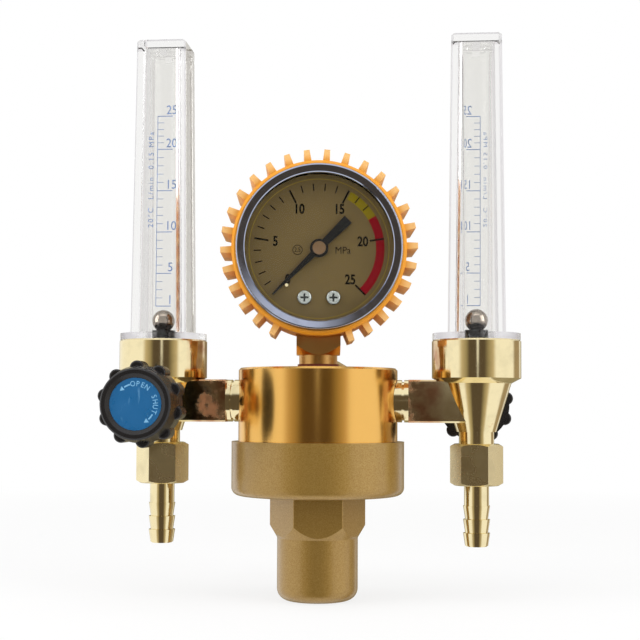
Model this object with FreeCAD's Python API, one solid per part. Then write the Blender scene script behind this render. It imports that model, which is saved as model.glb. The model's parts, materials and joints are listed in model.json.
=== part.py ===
import FreeCAD, Part
import math
import os
from FreeCAD import Vector as V

# Sizes are in millimetres. Z is the regulator's axis, -Y is the front and z = 0 is the level of the ports.

# Fits
thread_gap = 0.05
running_gap = 0.05
slip_gap = 0.1
free_gap = 0.3

# Regulator body
body_r = 29.75
port_to_top = 12.2
port_to_foot = 15.1
body_edge = 0.8
spigot_r = 28.0
spigot_len = 9.4
cavity_r = 21.0
cavity_h = 6.0
nozzle_port_r = 7.0
chamber_r = 5.5
chamber_h = 14.0
drill_r = 1.5
gauge_port_r = 6.6
gauge_port_depth = 8.0
inlet_port_r = 7.0
inlet_port_depth = 11.0
inlet_spot_r = 11.5
inlet_spot_depth = 2.3
side_port_r = 6.5
side_port_depth = 11.0
side_spot_r = 8.5
side_spot_depth = 1.2
riser_x = 16.0
riser_r = 1.8

# Bonnet
ring_r = 32.25
ring_h = 20.0
ring_fillet = 3.0
tube_r = 17.8
tube_af = 31.0
tube_h = 11.0
taper_h = 4.6
nose_r = 15.05
nose_h = 23.2
nose_fillet = 4.5
bonnet_angle = 36.0
under_cavity_h = 5.0
spring_bore_r = 11.5
bonnet_end_wall = 4.0

# Diaphragm, springs and regulating valve
diaphragm_t = 1.2
plate_r = 10.0
plate_t = 2.0
stud_r = 2.4
stud_below = 2.5
spring_plate_r = 10.8
spring_plate_t = 2.5
spring_r = 8.6
spring_wire_r = 1.4
spring_turns = 6.0
seat_disc_t = 3.0
seat_boss_r = 6.0
seat_boss_h = 3.0
nozzle_len = 7.5
nozzle_hole_r = 1.6
nozzle_lip_r = 2.6
nozzle_lip_h = 0.8
nozzle_hex_af = 11.0
nozzle_hex_h = 2.0
valve_lift = 0.8
seat_gap = 0.05
poppet_r = 4.2
poppet_h = 4.0
poppet_spigot_r = 2.2
poppet_spigot_h = 2.0
poppet_pin_r = 1.0
poppet_spring_r = 3.2
poppet_wire_r = 0.5
poppet_turns = 4.0

# Inlet connection at the rear
collar_af = 19.0
collar_len = 5.0
stem_r = 6.2
stem_len = 13.0
nose_collar_r = 9.8
nose_collar_len = 4.5
nose_tip_r = 6.5
inlet_bore_r = 2.5
filter_r = 4.0
filter_len = 3.0
nut_af = 32.0
nut_len = 26.0
nut_neck_len = 6.6
nut_relief_r = 11.4
nut_relief_len = 4.7
nut_thread_r = 10.4

# Pressure gauge, drawn face on: x to the right, y up from the dial's centre, z towards the reader
stem_show = 11.5
gauge_angle = 6.0
washer_r = 7.7
washer_t = 1.5
gauge_neck_r = 7.15
gauge_neck_len = 3.4
gauge_block = 16.3
block_chamfer_h = 3.5
block_top = 15.5
boss_inset = 4.0
gauge_bore_r = 1.4
tongue_x0 = -6.5
tongue_x1 = 3.0
tongue_top = 9.5
tongue_t = 4.5
case_r = 29.0
case_wall = 1.2
case_front = 18.0
case_back = 10.0
lens_t = 2.0
bezel_wall = 1.15
bezel_skirt = 6.0
bezel_lip_t = 2.0
bezel_lip_w = 2.0
bezel_round = 0.8
bezel_edge = 0.3
boot_wall = 1.65
boot_back_t = 2.0
boot_lip_w = 7.0
boot_front = 18.5
boot_edge = 1.0
boot_tooth_h = 4.0
boot_tooth_sink = 1.5
boot_tooth_root_w = 2.7
boot_tooth_tip_w = 2.1
boot_tooth_count = 30
boot_tooth_angle = 4.5
bare_angles = (172.5, 184.5, 196.5)
dial_back = 13.0
dial_t = 0.8
dial_hole_r = 1.6
dial_screw_x = 5.3
dial_screw_y = -18.0
dial_screw_head_r = 2.6
dial_screw_round = 0.6
cross_w = 0.7
cross_r = 1.5
dial_screw_head_h = 1.0
dial_screw_r = 0.9
dial_screw_len = 5.0
stop_pin_r = 0.6
stop_pin_at = 18.0
stop_pin_angle = 139.0
zero_angle = 135.0
pointer_short = 3.5
pointer_tip_w = 0.6
pointer_w = 2.6
pointer_tail = 15.0
pointer_tail_w = 3.7
pointer_t = 0.5
pointer_lift = 1.4
pointer_hub_r = 3.4
pointer_cap_r = 2.4
pointer_cap_h = 1.0
arbor_r = 0.8
arbor_pivot_r = 0.5
frame_back = 3.5
frame_plate_t = 1.2
frame_gap = 4.3
pillar_r = 1.0
pillar_spots = ((-4.5, -13.2), (4.0, 3.3))
frame_outline = ((-6.5, -15.2), (12, -15.2), (15, -12), (15, -8), (6.5, 5), (-4, 5), (-6.5, 1))
gear_module = 0.35
pinion_teeth = 10
sector_wheel_teeth = 80
sector_teeth = 11
tooth_share = 0.34
tooth_foot_share = 1.4
tooth_tip_share = 0.6
tooth_up = 0.26
tooth_down = 0.42
tooth_sink = 0.2
gear_t = 1.2
sector_angle = -46.0
sector_hub_r = 1.8
sector_pivot_r = 0.6
lightening_r = 1.6
lightening_spots = (6.0, 9.4)
rim_steps = 8
tail_len = 6.0
tail_angle = 3.0
tail_w = 2.4
link_pin_r = 0.6
link_t = 0.8
link_w = 2.4
bourdon_r = 21.0
bourdon_w = 7.0
bourdon_t = 2.8
bourdon_wall = 0.5
bourdon_mid = -2.0
bourdon_root = 247.0
bourdon_tip = 15.0
tip_size = 3.6

# Flow meter, drawn round its own axis with the regulator towards +X and the valve towards -Y
meter_x = 59.0
nipple_show = 4.25
nipple_r = 7.9
nipple_groove_r = 7.2
nipple_groove_w = 0.9
nipple_bore_r = 2.0
arm_h = 15.8
arm_t = 15.0
arm_edge = 0.6
arm_port_r = 5.2
arm_port_depth = 9.0
arm_drill_r = 2.0
arm_drill_z = 2.5
cup_r = 16.5
cup_top = 22.8
cup_h = 14.2
cup_edge = 0.6
cup_chamfer_h = 1.9
cone_top_r = 12.9
cone_h = 17.9
cone_low_r = 7.3
neck_r = 6.5
neck_h = 4.4
outlet_screw_r = 6.2
outlet_screw_len = 6.4
outlet_bore_r = 2.2
recess_r = 13.5
recess_depth = 10.4
supply_r = 2.2
return_r = 1.3
return_at = 9.5
valve_z = -1.5
valve_boss_r = 8.0
valve_boss_len = 19.0
valve_chamber_r = 3.2
valve_seat_at = 5.0
valve_hole_r = 1.2
gland_screw_r = 5.2
gland_screw_len = 7.0
gland_hex_af = 14.0
gland_hex_len = 4.5
gland_neck_r = 5.0
gland_neck_len = 4.0
spindle_screw_r = 2.55
spindle_r = 2.0
spindle_screw_len = 8.0
spindle_inside = 3.0
valve_travel = 2.0
valve_seal_r = 0.7
needle_r = 1.5
needle_socket = 3.0
needle_point_r = 0.4
needle_point_len = 2.4
needle_gap = 0.045
knob_back = 30.5
knob_skirt_len = 9.2
knob_r = 13.6
knob_lobe_tip_r = 15.4
knob_lobe_edge = 0.8
knob_lobe_r = 2.6
knob_lobes = 10
knob_lobe_angle = 5.0
knob_face_len = 7.0
knob_rim_r = 12.5
knob_rim_edge = 0.6
knob_rim_in_r = 10.6
knob_label_r = 9.1
knob_label_t = 0.6
knob_label_drop = 1.5
knob_hub_r = 4.6
knob_hollow_r = 11.3
knob_hollow_depth = 8.0
knob_web = 1.0
knob_screw_r = 1.4
knob_screw_len = 8.0
knob_screw_head_r = 2.8
knob_screw_head_h = 1.8
cover_flange_r = 16.25
cover_flange_h = 2.4
cover_low_w = 21.0
cover_top_w = 18.5
cover_h = 110.8
cover_corner = 0.6
cover_cap_edge = 0.8
cover_end_wall = 3.0
cover_wall = 2.6
cover_bore_r = 6.6
cover_plug_len = 7.4
cover_seal_r = 1.0
tube_outer_r = 5.9
tube_low_r = 4.45
tube_high_r = 5.2
tube_lip_r = 3.6
tube_lip_h = 1.5
tube_notch_w = 3.0
tube_notch_h = 2.5
seat_flange_h = 10.1
seat_spigot_h = 3.95
seat_hole_r = 2.4
ball_r = 4.25
ball_gap = 0.1
nut_hex_af = 17.0
nut_hex_len = 15.4
left_nut_angle = 41.0
right_nut_angle = 24.0
tail_washer_t = 1.2
tail_flange_t = 2.8
tail_neck_r = 4.1
tail_shank_r = 4.6
tail_shank_len = 7.4
barb_r = 4.65
barb_root_r = 4.2
barb_end_r = 3.8
barb_pitch = 5.0
barb_count = 3
tail_bore_r = 2.5

# Levels that follow from the sizes
z_top = port_to_top
z_foot = -port_to_foot
z_clamp = z_foot - spigot_len
z_shoulder = z_clamp - diaphragm_t
z_cavity = z_clamp + cavity_h
z_nozzle = z_cavity + nozzle_len
z_chamber = z_nozzle + chamber_h
z_ring = z_foot - ring_h
z_tube = z_ring - tube_h
z_taper = z_tube - taper_h
z_nose = z_taper - nose_h
z_under = z_shoulder - under_cavity_h
z_spring_floor = z_nose + bonnet_end_wall
y_collar = body_r + collar_len
y_nose = y_collar + stem_len
y_nut_back = y_nose - slip_gap - nut_neck_len
y_mouth = y_nut_back + nut_len
bezel_r = case_r + slip_gap + bezel_wall
window_r = case_r - bezel_lip_w
boot_r = bezel_r + slip_gap + boot_wall
boot_hole_r = case_r - boot_lip_w
tooth_tip_r = boot_r + boot_tooth_h
dial_r = case_r - case_wall - free_gap
pointer_len = dial_r - pointer_short
boss_low = case_r - boss_inset
gauge_height = boot_r + stem_show
gauge_z = z_top + gauge_height
dial_face = dial_back + dial_t
pointer_back = dial_face + pointer_lift
frame_front = frame_back + frame_plate_t + frame_gap
gear_back = frame_back + frame_plate_t + (frame_gap - gear_t) / 2
link_back = gear_back + gear_t + slip_gap
pinion_pitch_r = gear_module * pinion_teeth / 2
sector_pitch_r = gear_module * sector_wheel_teeth / 2
gear_span = pinion_pitch_r + sector_pitch_r
sector_x = gear_span * math.cos(math.radians(sector_angle))
sector_y = gear_span * math.sin(math.radians(sector_angle))
tail_x = sector_x + tail_len * math.cos(math.radians(tail_angle))
tail_y = sector_y + tail_len * math.sin(math.radians(tail_angle))
tip_x = bourdon_r * math.cos(math.radians(bourdon_tip))
tip_y = bourdon_r * math.sin(math.radians(bourdon_tip))
arm_end = meter_x - body_r - nipple_show
z_floor = cup_top - recess_depth
z_cup_low = cup_top - cup_h
z_cone_top = z_cup_low - cup_chamfer_h
z_cone_low = z_cone_top - cone_h
z_neck = z_cone_low - neck_h
z_outlet = z_neck - outlet_screw_len
z_plug = cup_top - cover_plug_len
z_square = cup_top + cover_flange_h
z_cover = z_square + cover_h
z_bore_end = z_cover - cover_end_wall
z_tube_foot = z_floor + seat_flange_h
z_tube_top = z_bore_end - slip_gap
z_lip = z_tube_top - tube_lip_h
z_seat = z_tube_foot + seat_spigot_h
z_ball = z_seat + ball_gap + math.sqrt(ball_r ** 2 - seat_hole_r ** 2)
ball_travel = z_lip - free_gap - ball_r - z_ball
gland_in = valve_boss_len - gland_screw_len
gland_out = valve_boss_len + gland_hex_len + gland_neck_len
gland_seal_at = valve_boss_len + gland_hex_len / 2
spindle_in = gland_in - spindle_inside
knob_front = knob_back + knob_skirt_len + knob_face_len
label_back = knob_front - knob_label_drop
spindle_out = label_back - slip_gap - knob_screw_head_h - knob_web
z_washer = z_outlet - tail_washer_t
z_flange = z_washer - tail_flange_t
z_nut = z_neck - nut_hex_len
z_barbs = z_nut - tail_shank_len


def rod(r, z0, z1):
    return Part.makeCylinder(r, z1 - z0, V(0, 0, z0))


def slab(x0, x1, y0, y1, z0, z1):
    return Part.makeBox(x1 - x0, y1 - y0, z1 - z0, V(x0, y0, z0))


def moved(shape, x, y, z):
    shape = shape.copy()
    shape.translate(V(x, y, z))
    return shape


def turn_about_z(shape, angle):
    shape = shape.copy()
    shape.rotate(V(0, 0, 0), V(0, 0, 1), angle)
    return shape


# The three quarter turns lay a shape that stands on Z along -Y, +Y or +X.
def to_front(shape):
    shape = shape.copy()
    shape.rotate(V(0, 0, 0), V(1, 0, 0), 90)
    return shape


def to_rear(shape):
    shape = shape.copy()
    shape.rotate(V(0, 0, 0), V(1, 0, 0), -90)
    return shape


def to_right(shape):
    shape = shape.copy()
    shape.rotate(V(0, 0, 0), V(0, 1, 0), 90)
    return shape


def turned(points):
    loop = [V(r, 0, z) for r, z in points]
    face = Part.Face(Part.makePolygon(loop + loop[:1]))
    return face.revolve(V(0, 0, 0), V(0, 0, 1), 360)


def plate(points, z0, z1):
    loop = [V(x, y, z0) for x, y in points]
    face = Part.Face(Part.makePolygon(loop + loop[:1]))
    return face.extrude(V(0, 0, z1 - z0))


def hex_bar(af, z0, z1):
    reach = af / math.sqrt(3)
    corners = [math.radians(60 * i + 30) for i in range(6)]
    return plate([(reach * math.cos(a), reach * math.sin(a)) for a in corners], z0, z1)


# A hexagon with its end corners turned off at 30 degrees; two opposite corners point along Y.
def hex_nut(af, z0, z1):
    reach = af / math.sqrt(3) + 0.01
    drop = (reach - 0.48 * af) * math.tan(math.radians(30))
    profile = [(0, z0), (0.48 * af, z0), (reach, z0 + drop), (reach, z1 - drop), (0.48 * af, z1), (0, z1)]
    return hex_bar(af, z0, z1).common(turned(profile))


# The round edges of a turned shape that lie at one height.
def edges_at(shape, z):
    level = [e for e in shape.Edges if e.BoundBox.ZLength < 0.01 and e.Length > 1]
    return [e for e in level if abs(e.BoundBox.ZMax - z) < 0.01]


def coil(radius, wire_r, turns, z0, z1):
    low = z0 + wire_r
    height = z1 - z0 - 2 * wire_r
    path = Part.makeHelix(height / turns, height, radius)
    section = Part.Wire(Part.makeCircle(wire_r, V(radius, 0, 0), V(0, 1, 0)))
    return moved(Part.Wire(path).makePipeShell([section], True, True), 0, 0, low)


def make_regulator_body():
    outline = [(0, z_clamp), (spigot_r, z_clamp), (spigot_r, z_foot), (body_r, z_foot)]
    outline += [(body_r, z_top - body_edge), (body_r - body_edge, z_top), (0, z_top)]
    body = turned(outline)
    port_end = body_r - side_port_depth
    holes = [rod(cavity_r, z_clamp, z_cavity)]
    holes.append(rod(nozzle_port_r, z_cavity, z_nozzle))
    holes.append(rod(chamber_r, z_nozzle, z_chamber))
    holes.append(rod(drill_r, z_chamber, z_top))
    holes.append(rod(gauge_port_r, z_top - gauge_port_depth, z_top))
    holes.append(to_rear(rod(inlet_port_r, body_r - inlet_port_depth, body_r + body_edge)))
    holes.append(to_rear(rod(drill_r, 0, body_r)))
    rear_flat = body_r - inlet_spot_depth
    side_flat = body_r - side_spot_depth
    holes.append(to_rear(rod(inlet_spot_r, rear_flat, body_r + body_edge)))
    for side in (0, 180):
        spot = to_right(rod(side_spot_r, side_flat, body_r + body_edge))
        holes.append(turn_about_z(spot, side))
        port = to_right(rod(side_port_r, port_end, body_r + body_edge))
        way = to_right(rod(riser_r, riser_x, body_r))
        riser = moved(rod(riser_r, z_cavity, 0), riser_x, 0, 0)
        holes.extend([turn_about_z(port, side), turn_about_z(way, side), turn_about_z(riser, side)])
    return body.cut(holes)


def make_bonnet():
    ring = rod(ring_r, z_ring, z_foot)
    ring = ring.makeFillet(ring_fillet, edges_at(ring, z_ring))
    outline = [(0, z_nose), (nose_r, z_nose), (nose_r, z_taper)]
    outline += [(tube_r, z_tube), (tube_r, z_ring), (0, z_ring)]
    nose = turned(outline)
    nose = nose.makeFillet(nose_fillet, edges_at(nose, z_nose))
    nose = nose.common(turn_about_z(hex_bar(tube_af, z_nose, z_ring), bonnet_angle))
    holes = [rod(spigot_r + slip_gap, z_shoulder, z_foot)]
    holes.append(rod(cavity_r, z_under, z_shoulder))
    holes.append(rod(spring_bore_r, z_spring_floor, z_under))
    return ring.fuse(nose).removeSplitter().cut(holes)


def make_diaphragm():
    return rod(spigot_r - free_gap, z_shoulder, z_clamp).cut(rod(stud_r + slip_gap, z_shoulder, z_clamp))


def make_diaphragm_plate():
    stud_end = z_shoulder - spring_plate_t - stud_below
    return rod(plate_r, z_clamp, z_clamp + plate_t).fuse(rod(stud_r, stud_end, z_clamp))


def make_spring_plate():
    disc = rod(spring_plate_r, z_shoulder - spring_plate_t, z_shoulder)
    return disc.cut(rod(stud_r + thread_gap, z_shoulder - spring_plate_t, z_shoulder))


def make_adjusting_spring():
    low = z_spring_floor + seat_disc_t + slip_gap
    return coil(spring_r, spring_wire_r, spring_turns, low, z_shoulder - spring_plate_t - slip_gap)


def make_spring_seat():
    top = z_spring_floor + seat_disc_t
    disc = rod(spring_bore_r - slip_gap, z_spring_floor, top)
    return disc.fuse(rod(seat_boss_r, top, top + seat_boss_h))


def make_nozzle():
    screw = rod(nozzle_port_r - thread_gap, z_cavity, z_nozzle)
    lip = rod(nozzle_lip_r, z_nozzle, z_nozzle + nozzle_lip_h)
    head = hex_nut(nozzle_hex_af, z_cavity - nozzle_hex_h, z_cavity)
    hole = rod(nozzle_hole_r, z_cavity - nozzle_hex_h, z_nozzle + nozzle_lip_h)
    return screw.fuse([lip, head]).cut(hole)


def make_poppet():
    low = z_nozzle + nozzle_lip_h + valve_lift + seat_gap
    pad = rod(poppet_r, low, low + poppet_h)
    spigot = rod(poppet_spigot_r, low + poppet_h, low + poppet_h + poppet_spigot_h)
    pin = rod(poppet_pin_r, z_clamp + plate_t + free_gap, low)
    return pad.fuse([spigot, pin])


def make_poppet_spring():
    low = z_nozzle + nozzle_lip_h + valve_lift + seat_gap + poppet_h
    return coil(poppet_spring_r, poppet_wire_r, poppet_turns, low + slip_gap, z_chamber - slip_gap)


# Screwed into the rear port: a hexagon collar, a plain neck for the nut and a rounded nose.
def make_inlet_nipple():
    start = body_r - inlet_port_depth + slip_gap
    end = y_nose + nose_collar_len
    flat = body_r - inlet_spot_depth
    screw = rod(inlet_port_r - thread_gap, start, flat)
    collar = hex_nut(collar_af, flat, y_collar)
    neck = rod(stem_r, y_collar, y_nose)
    nose_edge = nose_collar_r - nose_tip_r
    outline = [(0, y_nose), (nose_collar_r, y_nose), (nose_collar_r, end - nose_edge)]
    outline += [(nose_tip_r, end), (0, end)]
    nose = turned(outline)
    holes = [rod(inlet_bore_r, start, end), rod(filter_r, end - filter_len, end)]
    return to_rear(screw.fuse([collar, neck, nose]).cut(holes))


def make_inlet_filter():
    end = y_nose + nose_collar_len
    return to_rear(rod(filter_r - thread_gap, end - filter_len, end - slip_gap))


# The union nut turns freely on the nipple's neck.
def make_inlet_nut():
    shoulder = y_nut_back + nut_neck_len
    holes = [rod(stem_r + slip_gap, y_nut_back, shoulder)]
    holes.append(rod(nut_relief_r, shoulder, shoulder + nut_relief_len))
    holes.append(rod(nut_thread_r, shoulder, y_mouth))
    return to_rear(hex_nut(nut_af, y_nut_back, y_mouth).cut(holes))


# Puts a gauge piece on the regulator, face towards the front and turned a little on its stem.
def on_gauge(shape):
    return turn_about_z(moved(to_front(shape), 0, 0, gauge_z), gauge_angle)


def make_gauge_washer():
    return rod(washer_r, z_top, z_top + washer_t).cut(rod(gauge_port_r + slip_gap, z_top, z_top + washer_t))


# Screw, neck and square block in one; inside the case it carries the dial, the movement and the tube's root.
def make_gauge_stem():
    half = gauge_block / 2
    foot = -gauge_height - gauge_port_depth + slip_gap
    neck = -gauge_height + washer_t
    low = neck + gauge_neck_len
    screw = to_rear(rod(gauge_port_r - thread_gap, foot, neck))
    collar = to_rear(rod(gauge_neck_r, neck, low))
    wide = half * math.sqrt(2) + 0.01
    cone = [(0, low), (half, low), (wide, low + block_chamfer_h), (wide, -block_top), (0, -block_top)]
    square = slab(-half, half, low, -block_top, -half, half).common(to_rear(turned(cone)))
    boss = slab(-half, half, -boss_low, -block_top, 0, dial_back)
    tongue = slab(tongue_x0, tongue_x1, -block_top, -tongue_top, frame_back - tongue_t, frame_back)
    root = bourdon_r * math.sin(math.radians(bourdon_root))
    holes = [to_rear(rod(gauge_bore_r, foot, root)), moved(to_right(rod(gauge_bore_r, -half, 0)), 0, root, 0)]
    for side in (-1, 1):
        tap = rod(dial_screw_r + thread_gap, dial_back - dial_screw_len, dial_back)
        holes.append(moved(tap, side * dial_screw_x, dial_screw_y, 0))
    holes.append(bourdon_bar(0))
    return on_gauge(screw.fuse([collar, square, boss, tongue]).cut(holes))


def make_gauge_case():
    inside = rod(case_r - case_wall, case_wall - case_back, case_front)
    shell = rod(case_r, -case_back, case_front).cut(inside)
    half = gauge_block / 2 + slip_gap
    return on_gauge(shell.cut(slab(-half, half, -case_r - 1, -boss_low, -half, half)))


def make_gauge_bezel():
    inner = case_r + slip_gap
    low = case_front - bezel_skirt
    lens_front = case_front + lens_t
    front = lens_front + bezel_lip_t
    ring = [(inner, low), (bezel_r, low), (bezel_r, front), (window_r + bezel_edge, front)]
    ring += [(window_r, front - bezel_edge), (window_r, lens_front), (inner, lens_front)]
    bezel = turned(ring)
    rim = [e for e in edges_at(bezel, front) if e.BoundBox.XMax > bezel_r - 0.01]
    return on_gauge(bezel.makeFillet(bezel_round, rim))


def make_gauge_lens():
    return on_gauge(rod(case_r - slip_gap, case_front, case_front + lens_t))


# A rubber cup over the case with a ring of square teeth, three of them left out beside the stem.
def make_gauge_boot():
    back = -case_back - boot_back_t
    skirt = case_front - bezel_skirt - slip_gap
    over_case = case_r + slip_gap
    over_bezel = bezel_r + slip_gap
    wall = [(boot_hole_r, back), (boot_r - boot_edge, back), (boot_r, back + boot_edge)]
    wall += [(boot_r, boot_front - boot_edge), (boot_r - boot_edge, boot_front), (over_bezel, boot_front)]
    wall += [(over_bezel, skirt), (over_case, skirt), (over_case, -case_back), (boot_hole_r, -case_back)]
    root = boot_tooth_root_w / 2
    tip = boot_tooth_tip_w / 2
    low = boot_r - boot_tooth_sink
    side = [(-root, low), (root, low), (tip, tooth_tip_r), (-tip, tooth_tip_r)]
    tooth = plate(side, back + boot_edge, boot_front - boot_edge)
    pitch = 360 / boot_tooth_count
    angles = [boot_tooth_angle + pitch * i for i in range(boot_tooth_count)]
    teeth = [turn_about_z(tooth, -a) for a in angles if min(abs(a - b) for b in bare_angles) > pitch / 2]
    half = gauge_block / 2 + free_gap
    return on_gauge(turned(wall).fuse(teeth).cut(slab(-half, half, -tooth_tip_r, -boot_hole_r, -half, half)))


def make_gauge_dial():
    disc = rod(dial_r, dial_back, dial_face)
    holes = [rod(dial_hole_r, dial_back, dial_face)]
    hole = rod(dial_screw_r + slip_gap, dial_back, dial_face)
    for side in (-1, 1):
        holes.append(moved(hole, side * dial_screw_x, dial_screw_y, 0))
    holes.append(stop_pin(dial_back, dial_face))
    return on_gauge(disc.cut(holes))


def make_dial_screws():
    top = dial_face + dial_screw_head_h
    head = rod(dial_screw_head_r, dial_face, top)
    head = head.makeFillet(dial_screw_round, edges_at(head, top))
    screw = head.fuse(rod(dial_screw_r, dial_face - dial_screw_len, dial_face))
    slot = slab(-cross_r, cross_r, -cross_w / 2, cross_w / 2, dial_face + dial_screw_head_h / 3, case_front)
    screw = screw.cut(slot.fuse(turn_about_z(slot, 90)))
    screws = [moved(screw, side * dial_screw_x, dial_screw_y, 0) for side in (-1, 1)]
    return Part.makeCompound([on_gauge(one) for one in screws])


def stop_pin(z0, z1):
    return turn_about_z(moved(rod(stop_pin_r, z0, z1), 0, stop_pin_at, 0), stop_pin_angle)


def make_stop_pin():
    return on_gauge(stop_pin(dial_back, pointer_back + pointer_t))


def make_gauge_pointer():
    front = pointer_back + pointer_t
    half = pointer_w / 2
    tip = pointer_tip_w / 2
    flare = pointer_tail_w / 2
    outline = [(-tip, pointer_len), (-half, 0), (-flare, -pointer_tail)]
    outline += [(flare, -pointer_tail), (half, 0), (tip, pointer_len)]
    blade = plate(outline, pointer_back, front)
    cap = rod(pointer_cap_r, pointer_back, front + pointer_cap_h)
    hub = rod(pointer_hub_r, pointer_back, front).fuse(cap)
    hole = rod(arbor_r, pointer_back, front + pointer_cap_h / 2)
    return on_gauge(turn_about_z(blade.fuse(hub).cut(hole), zero_angle))


# Straight-flanked gear tooth that points along +Y from a wheel of the given pitch radius.
def gear_tooth(pitch_r, z0, z1):
    width = tooth_share * math.pi * gear_module
    tip = pitch_r + tooth_up
    root = pitch_r - tooth_down - tooth_sink
    half = width / 2
    foot_half = half * tooth_foot_share
    tip_half = half * tooth_tip_share
    shape = [(-foot_half, root), (foot_half, root), (half, pitch_r), (tip_half, tip)]
    shape += [(-tip_half, tip), (-half, pitch_r)]
    return plate(shape, z0, z1)


# The teeth stand so that one lies on the line of centres at the zero mark.
def make_pointer_arbor():
    pivot = rod(arbor_pivot_r, frame_back + slip_gap, gear_back)
    shaft = rod(arbor_r, frame_back + frame_plate_t + slip_gap, pointer_back + pointer_t + pointer_cap_h / 2)
    wheel = rod(pinion_pitch_r - tooth_down, gear_back, gear_back + gear_t)
    tooth = gear_tooth(pinion_pitch_r, gear_back, gear_back + gear_t)
    step = 360 / pinion_teeth
    teeth = [turn_about_z(tooth, sector_angle - 90 + step * i) for i in range(pinion_teeth)]
    return on_gauge(shaft.fuse([pivot, wheel] + teeth))


# A toothed quadrant that turns the pinion, with a tail that the link pulls.
def make_sector_gear():
    front = gear_back + gear_t
    step = 360 / sector_wheel_teeth
    root_r = sector_pitch_r - tooth_down
    facing = 180 + sector_angle
    first = facing + step * 1.5
    last = first - step * sector_teeth
    rim = [math.radians(first + (last - first) * i / rim_steps) for i in range(rim_steps + 1)]
    web = plate([(0, 0)] + [(root_r * math.cos(a), root_r * math.sin(a)) for a in rim], gear_back, front)
    hole = rod(lightening_r, gear_back, front)
    window = [turn_about_z(moved(hole, r, 0, 0), (first + last) / 2) for r in lightening_spots]
    tooth = gear_tooth(sector_pitch_r, gear_back, front)
    teeth = [turn_about_z(tooth, first - 90 - step * (i + 1)) for i in range(sector_teeth - 1)]
    hub = rod(sector_hub_r, gear_back - slip_gap, front + slip_gap)
    pivot = rod(sector_pivot_r, frame_back + slip_gap, frame_front + frame_plate_t - slip_gap)
    tail = slab(0, tail_len, -tail_w / 2, tail_w / 2, gear_back, front)
    tail = tail.fuse(moved(rod(tail_w / 2, gear_back, front), tail_len, 0, 0))
    tail = tail.fuse(moved(rod(link_pin_r, gear_back, link_back + link_t), tail_len, 0, 0))
    sector = web.cut(window).fuse(teeth + [hub, pivot, turn_about_z(tail, tail_angle)])
    return on_gauge(moved(sector, sector_x, sector_y, 0))


def movement_plate(z0, sector_hole, pinion_hole):
    sheet = plate(frame_outline, z0, z0 + frame_plate_t)
    holes = [rod(pinion_hole, z0, z0 + frame_plate_t)]
    holes.append(moved(rod(sector_hole, z0, z0 + frame_plate_t), sector_x, sector_y, 0))
    return sheet.cut(holes)


def make_movement_back_plate():
    sheet = movement_plate(frame_back, sector_pivot_r + running_gap, arbor_pivot_r + running_gap)
    pillars = [moved(rod(pillar_r, frame_back, frame_front), x, y, 0) for x, y in pillar_spots]
    return on_gauge(sheet.fuse(pillars))


def make_movement_front_plate():
    return on_gauge(movement_plate(frame_front, sector_pivot_r + running_gap, arbor_r + running_gap))


def make_gauge_link():
    run = V(tip_x - tail_x, tip_y - tail_y, 0)
    bar = slab(0, run.Length, -link_w / 2, link_w / 2, link_back, link_back + link_t)
    for x in (0, run.Length):
        bar = bar.fuse(moved(rod(link_w / 2, link_back, link_back + link_t), x, 0, 0))
    for x in (0, run.Length):
        bar = bar.cut(moved(rod(link_pin_r + running_gap, link_back, link_back + link_t), x, 0, 0))
    bar = turn_about_z(bar, math.degrees(math.atan2(run.y, run.x)))
    return on_gauge(moved(bar, tail_x, tail_y, 0))


# The flat section of the tube, bent to a C round the dial's centre; inset gives the bore.
def bourdon_bar(inset):
    half_w = bourdon_w / 2 - inset
    half_t = bourdon_t / 2 - inset
    low = bourdon_mid - half_w
    high = bourdon_mid + half_w
    bar = rod(bourdon_r + half_t, low, high).cut(rod(bourdon_r - half_t, low, high))
    span = bourdon_root - bourdon_tip
    wedge = Part.makeCylinder(2 * bourdon_r, 2 * half_w, V(0, 0, low), V(0, 0, 1), span)
    return bar.common(turn_about_z(wedge, bourdon_tip))


def make_bourdon_tube():
    tube = bourdon_bar(0).cut(bourdon_bar(bourdon_wall))
    size = tip_size / 2
    front = link_back - slip_gap
    tip = slab(bourdon_r - size, bourdon_r + size, -size, size, bourdon_mid - bourdon_w / 2, front)
    pin = moved(rod(link_pin_r, front, link_back + link_t), bourdon_r, 0, 0)
    return on_gauge(tube.fuse(turn_about_z(tip.fuse(pin), bourdon_tip)))


# Puts a meter piece on its side of the regulator; the right meter is the left one turned half round.
def on_meter(shape, side):
    return turn_about_z(moved(shape, -meter_x, 0, 0), side)


# Lays a turned valve piece along the valve's axis, heights counted forwards from the meter's axis.
def on_valve(shape):
    return moved(to_front(shape), 0, 0, valve_z)


def make_arm_nipple():
    flat = meter_x - body_r + side_spot_depth
    port_foot = meter_x - body_r + side_port_depth - slip_gap
    arm_foot = arm_end - arm_port_depth + slip_gap
    middle = (arm_end + meter_x - body_r) / 2
    collar = rod(nipple_r, arm_end, flat)
    ring = rod(nipple_r, middle - nipple_groove_w / 2, middle + nipple_groove_w / 2)
    groove = ring.cut(rod(nipple_groove_r, arm_end, flat))
    screws = [rod(arm_port_r - thread_gap, arm_foot, arm_end), rod(side_port_r - thread_gap, flat, port_foot)]
    return to_right(collar.cut(groove).fuse(screws).cut(rod(nipple_bore_r, arm_foot, port_foot)))


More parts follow.
